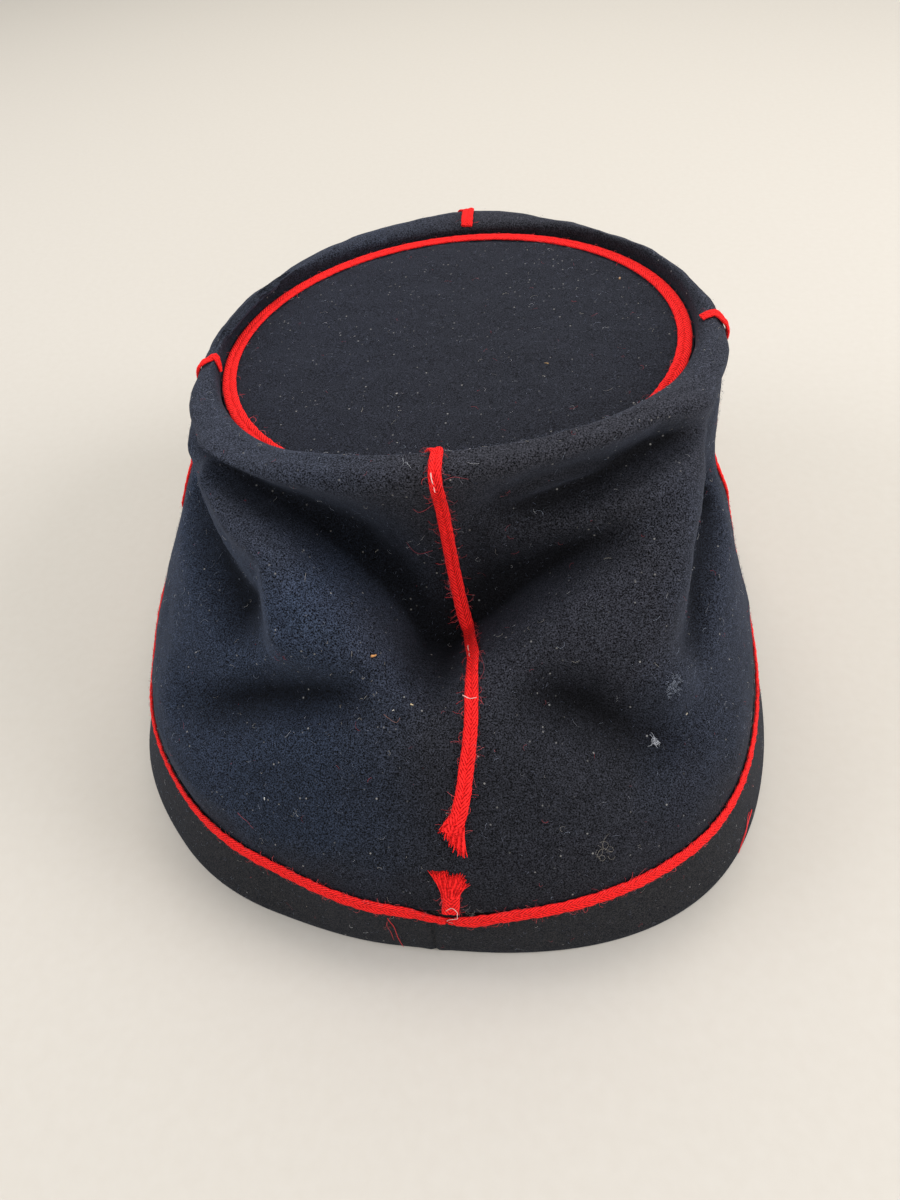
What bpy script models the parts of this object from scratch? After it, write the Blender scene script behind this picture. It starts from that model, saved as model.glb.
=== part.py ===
"""Kepi cap of dark wool cloth with scarlet braid and a sunk, tilted top.

Every piece is its own object. Lengths are in metres unless a name ends in _mm. The cap stands on
the lower edge of its band at z = 0 with the front, where the peak is, towards -Y. Bearings are in
degrees round the cap from the middle of the back; positive bearings are on the +X side. Shares run
up the cloth of the crown from the top of the band (0) to the crest of the rim (1), then over the
crest and down to the top disc (ROLL_END).
"""

import math

import bmesh
import bpy
import numpy as np

# Where the lengths below are placed from, so that the whole object is centred on the origin.
CAP_X = -0.00368
CAP_Y = 0.0219

# Band and the oval it follows.
OVAL_HALF_WIDTH = 0.0868
OVAL_HALF_LENGTH = 0.0982
OVAL_POWER = 2.84
OVAL_X = 0.0026
BAND_HEIGHT = 0.0184
BAND_WALL = 0.0016

# Crown cloth.
CROWN_FOOT = 0.0192
CLOTH = 0.0012
CLOTH_RISE_mm = 96.0
UNROLL_RADIUS_mm = 75.0
COLLAR_SHARE = 0.925
TOP_OF_MIDDLE = 0.895
ROOF_RISE = 2.2
ROOF_ROUND = 1.25
ROLL_SHARE = 0.955
ROLL_SPREAD = 0.040
ROLL_OUT = 0.0032
ROLL_END = 1.6

# Top disc, sunk inside the rim and lower on the +X side.
DISC_X = 0.0007
DISC_Y = -0.0234
DISC_HEIGHT = 0.0818
DISC_SIDE_SLOPE = 0.0496
DISC_RADIUS = 0.0588
DISC_THICK = 0.0015
DISC_GAP = 0.0004
DISC_HOLDS_OUT = 0.0031
RIM_X = -0.0010
RIM_Y = -0.0250

# Braid.
BRAID_WIDTH = 0.0034
BRAID_THICK = 0.0012
RING_RADIUS = 0.0568
GAP = 0.0003
BASE_BRAID_GAP = 0.0005
BRAID_LIFT = 0.0008

# Peak.
PEAK_REACH = 0.0450
PEAK_HALF_SPREAD = 50.0
PEAK_ROOT = 0.0066
PEAK_EDGE = 0.0028
PEAK_THICK = 0.0022

# How finely the lofts are cut.
COLUMNS = 72
CROWD_BACK = 32.0
PEAK_COLUMNS = 25
PEAK_ROWS = 6

# Crest of the rim: how far it reaches from the rim's centre and how high it stands over the disc.
RIM_TABLE = {
    "bearing": (-180, -145, -110, -85, -62, -42, -22, 0, 20, 40, 60, 85, 115, 150, 180),
    "reach_mm": (66, 58, 58.4, 61.5, 63.8, 63.4, 62.4, 62.7, 64.4, 65.7, 65.5, 60.9, 59.4, 63.6, 66),
    "rise_mm": (3.6, 3.8, 4.2, 4.5, 5.5, 8.5, 10.3, 11.2, 10.6, 8.2, 5.9, 4.6, 4.2, 3.8, 3.6),
}

# How far the worn band stands out from the oval, how far it leans in at its top, and how far the
# crown bellies out just over it.
BAND_TABLE = {
    "bearing": (-180, -120, -90, -60, -35, -12, 5, 22, 40, 62, 90, 120, 180),
    "out_mm": (-0.4, -1.2, -0.8, -0.4, 1.0, 0.8, -0.2, -3.2, -4.1, -0.3, 1.4, 0.6, -0.4),
    "lean_mm": (1.8, 4.7, 6.4, 6.7, 5.3, 1.7, 1.0, 4.1, 6.9, 8.0, 4.1, 3.2, 1.8),
    "belly_mm": (3.0, 1.6, 0.5, 1.7, 3.1, 3.3, 3.3, 3.4, 5.5, 2.5, 0.7, 4.3, 3.0),
}
BELLY_TABLE = {
    "share": (0.0, 0.02, 0.05, 0.10, 0.18, 0.30, 0.45, 0.60, 1.0),
    "part_of_belly": (0.0, 0.24, 0.58, 0.95, 1.0, 0.62, 0.20, 0.0, 0.0),
}

# The deep fold across the back: a crease that drops from both corners of the rim to a point.
POCKET_TABLE = {
    "bearing": (-60, -46, -30, -18, -8, 0, 3, 10, 19, 30, 42, 54, 64),
    "share": (0.87, 0.845, 0.77, 0.705, 0.625, 0.56, 0.56, 0.635, 0.745, 0.845, 0.878, 0.895, 0.90),
    "depth_mm": (0, 6, 14, 20, 23, 24, 24, 23, 19, 13.5, 9.5, 5, 0),
    "below_mm": (5, 5.5, 5.5, 5.5, 5.5, 6.5, 6.5, 5.5, 5, 4.2, 3.6, 3.2, 3.2),
}

# Smaller folds, each a ridge (lift over 0) or a valley that runs over three spots of the cloth. Each
# has its own width towards the middle of the back (inner) and away from it (outer).
FOLD_TABLE = {
    "name": ("left cheek", "left hollow", "left low valley", "right cheek", "right hollow", "right waist",
             "right flank", "right low valley", "right crease", "right small ridge", "left collar fill"),
    "from_bearing": (48, 67, 42, -55, -60, -62, -74, -13, -55, -34, 86),
    "from_share": (0.86, 0.69, 0.275, 0.86, 0.61, 0.70, 0.38, 0.51, 0.885, 0.81, 0.86),
    "via_bearing": (28, 49, 26, -42, -48, -80, -80, -23, -40, -24, 75),
    "via_share": (0.760, 0.63, 0.400, 0.67, 0.54, 0.58, 0.30, 0.425, 0.905, 0.812, 0.845),
    "to_bearing": (23.5, 33.5, 10, -37.5, -43, -110, -88, -34, -20, -13, 66),
    "to_share": (0.59, 0.58, 0.485, 0.43, 0.43, 0.50, 0.20, 0.27, 0.885, 0.805, 0.825),
    "outer_width_mm": (5.5, 9.0, 6.0, 7.0, 8.0, 15.0, 11.0, 7.0, 5.0, 4.5, 5.5),
    "inner_width_mm": (11.0, 7.5, 6.0, 12.0, 8.0, 15.0, 11.0, 7.0, 5.0, 4.5, 5.5),
    "lift_mm": (5.8, -8.0, -6.0, 6.0, -6.0, -7.1, -1.8, -6.5, -6.0, 4.5, 2.2),
}

# Rows of the crown's loft. Low rows are parts of the way to the crease line, middle rows parts of the
# way from it to the collar, and the rest are shares as they are.
CREASE_LINE_TABLE = {
    "bearing": (-180, -100, -62, -46, -30, -17, -8, 0, 3, 11, 20, 31, 42, 54, 66, 100, 180),
    "share": (0.62, 0.70, 0.85, 0.85, 0.785, 0.705, 0.63, 0.56, 0.56, 0.645, 0.745, 0.835, 0.86, 0.86,
              0.85, 0.70, 0.62),
}
LOW_ROWS = (0.0, 0.035, 0.10, 0.19, 0.29, 0.39, 0.49, 0.59, 0.68, 0.76, 0.83, 0.89, 0.945)
MIDDLE_ROWS = (0.0, 0.20, 0.42, 0.66, 0.86)
COLLAR_ROWS = (0.895, 0.93, 0.958, 0.982, 1.0, 1.06, 1.18, 1.6)

# Braids that run up the cloth: their bearings low down, at the deep fold and at the rim, and the
# shares where each starts and ends.
BRAID_TABLE = {
    "name": ("back_braid", "front_braid", "left_braid", "right_braid", "back_braid_stub"),
    "low_bearing": (-3.2, 178.3, 96.0, -95.0, -3.5),
    "mid_bearing": (-6.4, 178.3, 76.0, -77.0, -3.5),
    "top_bearing": (-0.5, 178.3, 80.0, -86.0, -3.5),
    "from_share": (0.165, 0.075, 0.075, 0.075, 0.060),
    "to_share": (1.20, 1.20, 1.20, 1.15, 0.115),
}

SMALLEST = 1e-9


def smooth_column(table, key, column, at):
    """A table's column read smoothly between its rows, without overshoot; round the cap it closes."""
    knots = np.array(table[key], float)
    values = np.array(table[column], float)
    if knots[-1] - knots[0] >= 360.0:
        knots = np.concatenate([[knots[-2] - 360.0], knots, [knots[1] + 360.0]])
        values = np.concatenate([[values[-2]], values, [values[1]]])
    spans = np.diff(knots)
    rates = np.diff(values) / spans
    slopes = np.zeros(len(knots))
    for i in range(1, len(knots) - 1):
        before, after = rates[i - 1], rates[i]
        if before * after > 0.0:
            weight_before = 2.0 * spans[i] + spans[i - 1]
            weight_after = spans[i] + 2.0 * spans[i - 1]
            total = weight_before + weight_after
            slopes[i] = total / (weight_before / before + weight_after / after)
    at = np.clip(np.asarray(at, float), knots[0], knots[-1] - SMALLEST)
    row = np.clip(np.searchsorted(knots, at, side="right") - 1, 0, len(knots) - 2)
    span = spans[row]
    t = (at - knots[row]) / span
    return (
        (2 * t**3 - 3 * t**2 + 1) * values[row]
        + (t**3 - 2 * t**2 + t) * span * slopes[row]
        + (3 * t**2 - 2 * t**3) * values[row + 1]
        + (t**3 - t**2) * span * slopes[row + 1]
    )


def oval(bearing):
    """Plan of the band's lower edge, about the oval's own centre."""
    side, back = np.sin(np.radians(bearing)), np.cos(np.radians(bearing))
    reach = (np.abs(side / OVAL_HALF_WIDTH) ** OVAL_POWER
             + np.abs(back / OVAL_HALF_LENGTH) ** OVAL_POWER) ** (-1.0 / OVAL_POWER)
    return reach * side, reach * back


def leaning_oval(bearing, part, outward=0.0):
    """The band's own oval moved in by a part of its lean, then out by a distance."""
    x, y = oval(bearing)
    out = smooth_column(BAND_TABLE, "bearing", "out_mm", bearing) / 1000.0
    lean = smooth_column(BAND_TABLE, "bearing", "lean_mm", bearing) / 1000.0
    scale = 1.0 + (out + outward - part * lean) / np.hypot(x, y)
    return OVAL_X + x * scale, y * scale


def disc_top(x):
    return DISC_HEIGHT - DISC_SIDE_SLOPE * (x - DISC_X)


def pocket(bearing, share):
    """Depth of the fold across the back, as a lift under 0."""
    crease = smooth_column(POCKET_TABLE, "bearing", "share", bearing)
    depth = smooth_column(POCKET_TABLE, "bearing", "depth_mm", bearing) / 1000.0
    below_mm = smooth_column(POCKET_TABLE, "bearing", "below_mm", bearing)
    climb = np.clip((share - crease) / np.maximum(COLLAR_SHARE - crease, 0.02), 0.0, 1.0)
    over = (1.0 - climb**ROOF_RISE) ** ROOF_ROUND
    under = np.exp(-(np.maximum(crease - share, 0.0) * CLOTH_RISE_mm / below_mm) ** 1.6)
    return -depth * np.where(share >= crease, over, under)


def folds(bearing, share):
    """Summed lift of the smaller folds, worked out on the cloth laid flat."""
    spot = np.stack(np.broadcast_arrays(np.radians(bearing) * UNROLL_RADIUS_mm,
                                        np.asarray(share, float) * CLOTH_RISE_mm), axis=-1)
    total = np.zeros(spot.shape[:-1])
    for row in range(len(FOLD_TABLE["name"])):
        stops = [np.array((math.radians(FOLD_TABLE[end + "_bearing"][row]) * UNROLL_RADIUS_mm,
                           FOLD_TABLE[end + "_share"][row] * CLOTH_RISE_mm))
                 for end in ("from", "via", "to")]
        nearest, turned = np.full(total.shape, 1000.0), np.zeros(total.shape)
        for start, end in zip(stops[:-1], stops[1:]):
            way = end - start
            off = spot - start - np.clip(((spot - start) @ way) / (way @ way), 0.0, 1.0)[..., None] * way
            apart = np.linalg.norm(off, axis=-1)
            turned = np.where(apart < nearest, (way[0] * off[..., 1] - way[1] * off[..., 0])
                              / np.linalg.norm(way), turned)
            nearest = np.minimum(apart, nearest)
        inner = 0.5 - 0.5 * np.clip(turned * np.sign(stops[0][0]) / np.maximum(nearest, 0.1), -1.0, 1.0)
        width = (FOLD_TABLE["outer_width_mm"][row] * (1.0 - inner)
                 + FOLD_TABLE["inner_width_mm"][row] * inner)
        total = total + FOLD_TABLE["lift_mm"][row] / 1000.0 * np.exp(-(nearest / width) ** 2)
    return total


def crown_surface(bearing, share):
    """Outer face of the crown's cloth about the oval's centre, as an array of points."""
    bearing, share = np.broadcast_arrays(np.asarray(bearing, float), np.asarray(share, float))
    side, back = np.sin(np.radians(bearing)), np.cos(np.radians(bearing))
    foot_x, foot_y = leaning_oval(bearing, 1.0)
    reach = smooth_column(RIM_TABLE, "bearing", "reach_mm", bearing) / 1000.0
    crest_x, crest_y = RIM_X + reach * side, RIM_Y + reach * back
    crest_z = disc_top(crest_x) + smooth_column(RIM_TABLE, "bearing", "rise_mm", bearing) / 1000.0
    way_x, way_y, way_z = crest_x - foot_x, crest_y - foot_y, crest_z - CROWN_FOOT
    flat = np.hypot(way_x, way_y)
    length = np.hypot(flat, way_z)
    out_x, out_y, out_z = -way_x / flat * way_z / length, -way_y / flat * way_z / length, flat / length

    part = np.clip(share, 0.0, 1.0)
    belly = smooth_column(BAND_TABLE, "bearing", "belly_mm", bearing) / 1000.0
    lift = belly * np.interp(part, BELLY_TABLE["share"], BELLY_TABLE["part_of_belly"])
    ends = np.clip(part / 0.12, 0.0, 1.0) * np.clip((1.0 - part) / 0.06, 0.0, 1.0)
    lift = lift + (folds(bearing, part) + pocket(bearing, part)) * ends
    roll = np.exp(-(((part - ROLL_SHARE) / ROLL_SPREAD) ** 2)) * np.clip((1.0 - part) / 0.02, 0.0, 1.0)
    lift = lift + ROLL_OUT * roll
    x, y = foot_x + way_x * part + out_x * lift, foot_y + way_y * part + out_y * lift
    z = CROWN_FOOT + way_z * part + out_z * lift

    # The disc's edge and the cloth turned down to it keep the outer wall from coming any further in.
    away = np.hypot(x - DISC_X, y - DISC_Y)
    over_edge = np.clip((z - disc_top(x) + 3.0 * DISC_THICK) / (2.0 * DISC_THICK), 0.0, 1.0)
    push = np.maximum(DISC_RADIUS + DISC_HOLDS_OUT - away, 0.0) * over_edge * (share < 0.97)
    x, y = x + (x - DISC_X) / away * push, y + (y - DISC_Y) / away * push

    # Over the crest the cloth turns in and drops to the edge of the disc.
    over = np.clip((share - 1.0) / (ROLL_END - 1.0), 0.0, 1.0)
    edge_x = DISC_X + (DISC_RADIUS + DISC_GAP) * side
    edge_y = DISC_Y + (DISC_RADIUS + DISC_GAP) * back
    edge_z = disc_top(edge_x) - DISC_THICK
    inward = 1.0 - (1.0 - np.clip(over * 1.6, 0.0, 1.0)) ** 2
    down = over**1.7
    x = x + (edge_x - crest_x) * inward
    y = y + (edge_y - crest_y) * inward
    z = z + (edge_z - crest_z) * down
    return np.stack([x, y, z], axis=-1)


def column_bearings():
    """Bearings of the lofts' columns, closer together at the back where the folds are."""
    turn = np.arange(COLUMNS) / COLUMNS * 2.0 - 1.0
    return 180.0 * turn - CROWD_BACK * np.sin(math.pi * turn)


def row_shares(bearing):
    """Shares of the loft's rows at each bearing, so that one row runs along the deep crease."""
    line = smooth_column(CREASE_LINE_TABLE, "bearing", "share", bearing)[..., None]
    low = line * np.array(LOW_ROWS)
    middle = line + (TOP_OF_MIDDLE - line) * np.array(MIDDLE_ROWS)
    rest = np.array(COLLAR_ROWS) + 0.0 * line
    return np.concatenate([low, middle, rest], axis=-1)


def row_at(bearing, share):
    """Row of the loft, as a number with a fraction, that passes a share at a bearing."""
    shares = row_shares(np.float64(bearing))
    return float(np.interp(share, shares, np.arange(len(shares))))


def faceted_point(bearing, row):
    """A point of the crown's flat facets rather than of its smooth surface."""
    bearing = (bearing + 180.0) % 360.0 - 180.0
    bearings = np.append(column_bearings(), 180.0)
    i = int(np.clip(np.searchsorted(bearings, bearing, side="right") - 1, 0, COLUMNS - 1))
    across = (bearing - bearings[i]) / (bearings[i + 1] - bearings[i])
    j = int(min(math.floor(row), len(row_shares(np.float64(0.0))) - 2))
    corners = [crown_surface(at, row_shares(at)[j:j + 2]) for at in bearings[i:i + 2]]
    mixed = (1.0 - across) * corners[0] + across * corners[1]
    return (1.0 - row + j) * mixed[0] + (row - j) * mixed[1]


def clear_scene():
    for old in list(bpy.data.objects):
        bpy.data.objects.remove(old)


def make_material(name, colour, roughness):
    material = bpy.data.materials.new(name)
    material.use_nodes = True
    shader = material.node_tree.nodes["Principled BSDF"]
    shader.inputs["Base Color"].default_value = (*colour, 1.0)
    shader.inputs["Roughness"].default_value = roughness
    return material


def add_object(name, points, faces, material, collection):
    """Mesh object whose points are given about the oval's centre."""
    mesh = bpy.data.meshes.new(name)
    placed = np.asarray(points, float).reshape(-1, 3) + (CAP_X, CAP_Y, 0.0)
    mesh.from_pydata(placed.tolist(), [], faces)
    mesh.materials.append(material)
    mesh.update()
    thing = bpy.data.objects.new(name, mesh)
    collection.objects.link(thing)
    return thing


def thicken(thing, thickness):
    """Give an open sheet its thickness on the side away from its faces' normals."""
    solid = thing.modifiers.new("cloth thickness", "SOLIDIFY")
    solid.thickness = thickness
    solid.offset = -1.0
    solid.use_even_offset = False
    return solid


def ring_faces(columns, rows, closed_section=False):
    """Quads of a loft that closes round the cap, column by column."""
    faces = []
    for i in range(columns):
        following = (i + 1) % columns
        for j in range(rows if closed_section else rows - 1):
            above = (j + 1) % rows
            faces.append((i * rows + j, following * rows + j, following * rows + above, i * rows + above))
    return faces


def strip_faces(sections, corners):
    """Quads of a bar through sections of a few corners each, with both ends closed."""
    faces = []
    for i in range(sections - 1):
        for j in range(corners):
            other = (j + 1) % corners
            faces.append((i * corners + j, i * corners + other,
                          (i + 1) * corners + other, (i + 1) * corners + j))
    faces.append(tuple(reversed(range(corners))))
    faces.append(tuple((sections - 1) * corners + j for j in range(corners)))
    return faces


def face_outward(thing):
    """Turn the faces of a closed mesh outward."""
    work = bmesh.new()
    work.from_mesh(thing.data)
    bmesh.ops.recalc_face_normals(work, faces=work.faces)
    work.to_mesh(thing.data)
    work.free()


def build_crown(material, collection):
    bearings = column_bearings()
    shares = row_shares(bearings)
    points = crown_surface(bearings[:, None], shares)
    crown = add_object("crown", points, ring_faces(COLUMNS, shares.shape[1]), material, collection)
    crown.data.flip_normals()
    thicken(crown, CLOTH)
    return crown


def build_band(material, collection):
    """Leaning wall of the band, flat along its lower and upper edges."""
    bearings = column_bearings()
    heights = (0.0, BAND_HEIGHT * 0.5, BAND_HEIGHT)
    corners = [(height, 0.0) for height in heights] + [(height, -BAND_WALL) for height in heights[::-1]]
    points = []
    for height, outward in corners:
        x, y = leaning_oval(bearings, height / CROWN_FOOT, outward)
        points.append(np.stack([x, y, np.full_like(x, height)], axis=-1))
    band = add_object("band", np.stack(points, axis=1), ring_faces(COLUMNS, len(corners), True),
                      material, collection)
    face_outward(band)
    return band


def build_disc(material, collection):
    bearings = column_bearings()
    x = DISC_X + DISC_RADIUS * np.sin(np.radians(bearings))
    y = DISC_Y + DISC_RADIUS * np.cos(np.radians(bearings))
    top = np.stack([x, y, disc_top(x)], axis=-1)
    disc = add_object("top_disc", top, [tuple(reversed(range(COLUMNS)))], material, collection)
    thicken(disc, DISC_THICK)
    return disc


def build_ring_braid(material, collection):
    bearings = column_bearings()
    inner, outer = RING_RADIUS - BRAID_WIDTH / 2.0, RING_RADIUS + BRAID_WIDTH / 2.0
    corners = ((inner, GAP), (outer, GAP), (outer, GAP + BRAID_THICK), (inner, GAP + BRAID_THICK))
    points = []
    for radius, lift in corners:
        x = DISC_X + radius * np.sin(np.radians(bearings))
        y = DISC_Y + radius * np.cos(np.radians(bearings))
        points.append(np.stack([x, y, disc_top(x) + lift], axis=-1))
    ring = add_object("top_ring_braid", np.stack(points, axis=1), ring_faces(COLUMNS, 4, True),
                      material, collection)
    face_outward(ring)
    return ring


def build_base_braid(material, collection):
    """Braid over the joint of band and crown."""
    bearings = column_bearings()
    low, high = CROWN_FOOT - BRAID_WIDTH / 2.0, CROWN_FOOT + BRAID_WIDTH / 2.0
    above = crown_surface(bearings, row_shares(bearings)[:, 1])
    foot = np.stack(leaning_oval(bearings, 1.0), axis=-1)
    swell = np.maximum(np.hypot(above[:, 0] - OVAL_X, above[:, 1])
                       - np.hypot(foot[:, 0] - OVAL_X, foot[:, 1]), 0.0)
    inner = BASE_BRAID_GAP
    corners = ((low / CROWN_FOOT, inner, low), (low / CROWN_FOOT, inner + BRAID_THICK, low),
               (1.0, swell + inner + BRAID_THICK, high), (1.0, swell + inner, high))
    points = []
    for lean_part, outward, height in corners:
        x, y = leaning_oval(bearings, lean_part, outward)
        points.append(np.stack([x, y, np.full_like(x, height)], axis=-1))
    braid = add_object("base_braid", np.stack(points, axis=1), ring_faces(COLUMNS, 4, True),
                       material, collection)
    face_outward(braid)
    return braid


def surface_normal(bearing, share):
    """Unit outward normal of the smooth crown surface."""
    step_b, step_s = 1.0, 0.012
    across = crown_surface(bearing + step_b, share) - crown_surface(bearing - step_b, share)
    up = crown_surface(bearing, share + step_s) - crown_surface(bearing, share - step_s)
    normal = np.cross(up, across)
    return normal / np.linalg.norm(normal)


def build_climbing_braid(row, material, collection):
    """A braid that lies on the crown from near the band up to, or over, the crest of the rim."""
    name = BRAID_TABLE["name"][row]
    way = {"share": (0.0, 0.55, 1.0),
           "bearing": (BRAID_TABLE["low_bearing"][row], BRAID_TABLE["mid_bearing"][row],
                       BRAID_TABLE["top_bearing"][row])}
    first = row_at(way["bearing"][0], BRAID_TABLE["from_share"][row])
    last = row_at(way["bearing"][2], BRAID_TABLE["to_share"][row])
    between = [float(j) for j in range(int(first) + 1, int(last) + 1) if first + 0.2 < j < last - 0.2]
    points = []
    for j in [first] + between + [last]:
        bearing = way["bearing"][1]
        for _ in range(3):
            shares = row_shares(np.float64(bearing))
            share = float(np.interp(j, np.arange(len(shares)), shares))
            bearing = float(smooth_column(way, "share", "bearing", min(share, 1.0)))
        normal = surface_normal(bearing, share)
        degree = np.linalg.norm(crown_surface(bearing + 0.5, share) - crown_surface(bearing - 0.5, share))
        spread = BRAID_WIDTH / 2.0 / degree
        left, middle, right = (faceted_point(bearing + move, j) for move in (-spread, 0.0, spread))
        low, high = normal * BRAID_LIFT, normal * (BRAID_LIFT + BRAID_THICK)
        points += [left + low, middle + low, right + low, right + high, middle + high, left + high]
    braid = add_object(name, points, strip_faces(len(between) + 2, 6), material, collection)
    face_outward(braid)
    return braid


def build_peak(material, collection):
    """Crescent of leather in front of the band, sloping down to rest its edge on the ground."""
    points = []
    for turn in np.linspace(-1.0, 1.0, PEAK_COLUMNS):
        bearing = (180.0 + PEAK_HALF_SPREAD * turn + 180.0) % 360.0 - 180.0
        root_x, root_y = leaning_oval(bearing, 0.2, GAP)
        reach = 0.004 + (PEAK_REACH - 0.004) * math.cos(turn * math.pi / 2.0) ** 0.75
        aim_x, aim_y = root_x * 0.3, root_y
        aim = math.hypot(aim_x, aim_y)
        for row in range(PEAK_ROWS):
            part = row / (PEAK_ROWS - 1)
            fall = PEAK_ROOT + (PEAK_EDGE - PEAK_ROOT) * (reach * part / PEAK_REACH) ** 0.8
            points.append((root_x + aim_x / aim * reach * part, root_y + aim_y / aim * reach * part, fall))
    faces = []
    for i in range(PEAK_COLUMNS - 1):
        for j in range(PEAK_ROWS - 1):
            a, b = i * PEAK_ROWS + j, (i + 1) * PEAK_ROWS + j
            faces.append((a, a + 1, b + 1, b))
    peak = add_object("peak", points, faces, material, collection)
    thicken(peak, PEAK_THICK)
    return peak


def main():
    clear_scene()
    collection = bpy.data.collections.new("kepi cap")
    bpy.context.scene.collection.children.link(collection)
    crown_cloth = make_material("crown_wool", (0.012, 0.014, 0.022), 0.95)
    disc_cloth = make_material("disc_wool", (0.012, 0.014, 0.021), 0.95)
    band_cloth = make_material("band_wool", (0.013, 0.014, 0.018), 0.95)
    leather = make_material("peak_leather", (0.012, 0.011, 0.011), 0.45)
    ring_red = make_material("ring_braid_red", (0.52, 0.022, 0.024), 0.9)
    base_red = make_material("base_braid_red", (0.52, 0.022, 0.024), 0.9)
    build_band(band_cloth, collection)
    build_crown(crown_cloth, collection)
    build_disc(disc_cloth, collection)
    build_peak(leather, collection)
    build_ring_braid(ring_red, collection)
    build_base_braid(base_red, collection)
    for row, name in enumerate(BRAID_TABLE["name"]):
        build_climbing_braid(row, make_material(name + "_red", (0.52, 0.022, 0.024), 0.9), collection)


main()
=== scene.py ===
"""Looks of a soft wool kepi cap: dark felted cloth, scarlet plaited braid and a plain leather peak.

Lengths are in metres unless a name ends in _mm. Bearings are degrees round the cap from the middle of
the back, positive on the +X side. Shares run up the crown's cloth: 0 at the band, 1 on the crest of
the rim, and ROLL_END where the cloth turned down inside the rim meets the top.
"""

import math

import bpy
import numpy as np
from mathutils import Euler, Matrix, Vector, noise


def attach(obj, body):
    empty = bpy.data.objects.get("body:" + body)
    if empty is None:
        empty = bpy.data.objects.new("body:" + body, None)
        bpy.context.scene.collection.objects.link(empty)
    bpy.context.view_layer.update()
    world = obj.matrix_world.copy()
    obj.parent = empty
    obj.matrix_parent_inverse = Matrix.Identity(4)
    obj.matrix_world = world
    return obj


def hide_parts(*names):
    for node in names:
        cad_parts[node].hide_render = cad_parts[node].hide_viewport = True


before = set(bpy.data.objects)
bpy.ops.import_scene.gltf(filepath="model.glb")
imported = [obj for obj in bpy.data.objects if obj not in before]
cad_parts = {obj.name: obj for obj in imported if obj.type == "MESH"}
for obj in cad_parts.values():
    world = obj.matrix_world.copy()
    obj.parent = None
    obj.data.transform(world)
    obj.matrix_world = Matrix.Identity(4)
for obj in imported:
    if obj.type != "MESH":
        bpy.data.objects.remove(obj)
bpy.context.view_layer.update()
mm = 0.001

# The cap's shape. The rim's rise, the pocket and the folds are fitted further than in its solids, and the
# sag of the top and the seam of the band are only here; the other values are theirs.
CAP_X, CAP_Y = -0.00368, 0.0219
OVAL_HALF_WIDTH, OVAL_HALF_LENGTH, OVAL_POWER, OVAL_X = 0.0868, 0.0982, 2.84, 0.0026
BAND_HEIGHT, BAND_WALL = 0.0184, 0.0016
CROWN_FOOT, CLOTH = 0.0192, 0.0012
CLOTH_RISE_mm, UNROLL_RADIUS_mm = 96.0, 75.0
ROOF_ROUND = 1.25
ROLL_SHARE, ROLL_SPREAD, ROLL_OUT, ROLL_END = 0.955, 0.040, 0.0032, 1.6
DISC_X, DISC_Y, DISC_HEIGHT, DISC_SIDE_SLOPE = 0.0007, -0.0234, 0.0818, 0.0496
DISC_RADIUS, DISC_THICK, DISC_GAP, DISC_HOLDS_OUT, TOP_SAG = 0.0588, 0.0015, 0.0004, 0.0031, 0.0009
RIM_X, RIM_Y = -0.0010, -0.0250
RING_RADIUS, BRAID_WIDTH, BAND_SEAM_BEARING = 0.0568, 0.0034, -1.0
PEAK_REACH, PEAK_HALF_SPREAD, PEAK_ROOT, PEAK_EDGE, PEAK_THICK = 0.0450, 50.0, 0.0066, 0.0028, 0.0022

RIM_TABLE = {
    "bearing": (-180, -145, -110, -85, -62, -42, -22, 0, 20, 40, 60, 85, 115, 150, 180),
    "reach_mm": (66, 58, 58.4, 61.5, 63.8, 63.4, 62.4, 62.7, 64.4, 65.7, 65.5, 60.9, 59.4, 63.6, 66),
    "rise_mm": (3.6, 3.8, 4.2, 4.6, 6.3, 9.2, 10.4, 11.1, 9.6, 6.6, 5.2, 4.6, 4.2, 3.8, 3.6),
}
BAND_TABLE = {
    "bearing": (-180, -120, -90, -60, -35, -12, 5, 22, 40, 62, 90, 120, 180),
    "out_mm": (-0.4, -1.2, -0.8, -0.4, 1.0, 0.8, -0.2, -3.2, -4.1, -0.3, 1.4, 0.6, -0.4),
    "lean_mm": (1.8, 4.7, 6.4, 6.7, 5.3, 1.7, 1.0, 4.1, 6.9, 8.0, 4.1, 3.2, 1.8),
    "belly_mm": (3.0, 1.6, 0.5, 1.7, 3.1, 3.3, 3.3, 3.4, 5.5, 2.5, 0.7, 4.3, 3.0),
}
BELLY_TABLE = {
    "share": (0.0, 0.02, 0.05, 0.10, 0.18, 0.30, 0.45, 0.60, 1.0),
    "part_of_belly": (0.0, 0.24, 0.58, 0.95, 1.0, 0.62, 0.20, 0.0, 0.0),
}
POCKET_TABLE = {
    "bearing": (-60, -46, -36, -30, -18, -8, 0, 3, 10, 19, 30, 42, 54, 64),
    "share": (0.80, 0.79, 0.772, 0.762, 0.705, 0.625, 0.56, 0.565, 0.66, 0.765, 0.858, 0.895, 0.91, 0.91),
    "depth_mm": (0, 1, 4.5, 9.5, 19, 23, 24, 24, 23, 19, 13, 9, 5, 0),
    "below_mm": (5.5, 5.5, 5.5, 5.5, 5.5, 5.5, 6.5, 5.6, 4.8, 4.6, 4.2, 3.4, 3, 3),
    "collar_share": (0.932, 0.942, 0.946, 0.947, 0.945, 0.938, 0.93, 0.928, 0.925, 0.93, 0.938, 0.942,
                     0.942, 0.942),
    "steepness": (2.2, 2.2, 2.2, 2.2, 2.2, 2.2, 2.2, 2.2, 2.4, 3.0, 3.2, 3.0, 2.6, 2.6),
}
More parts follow.
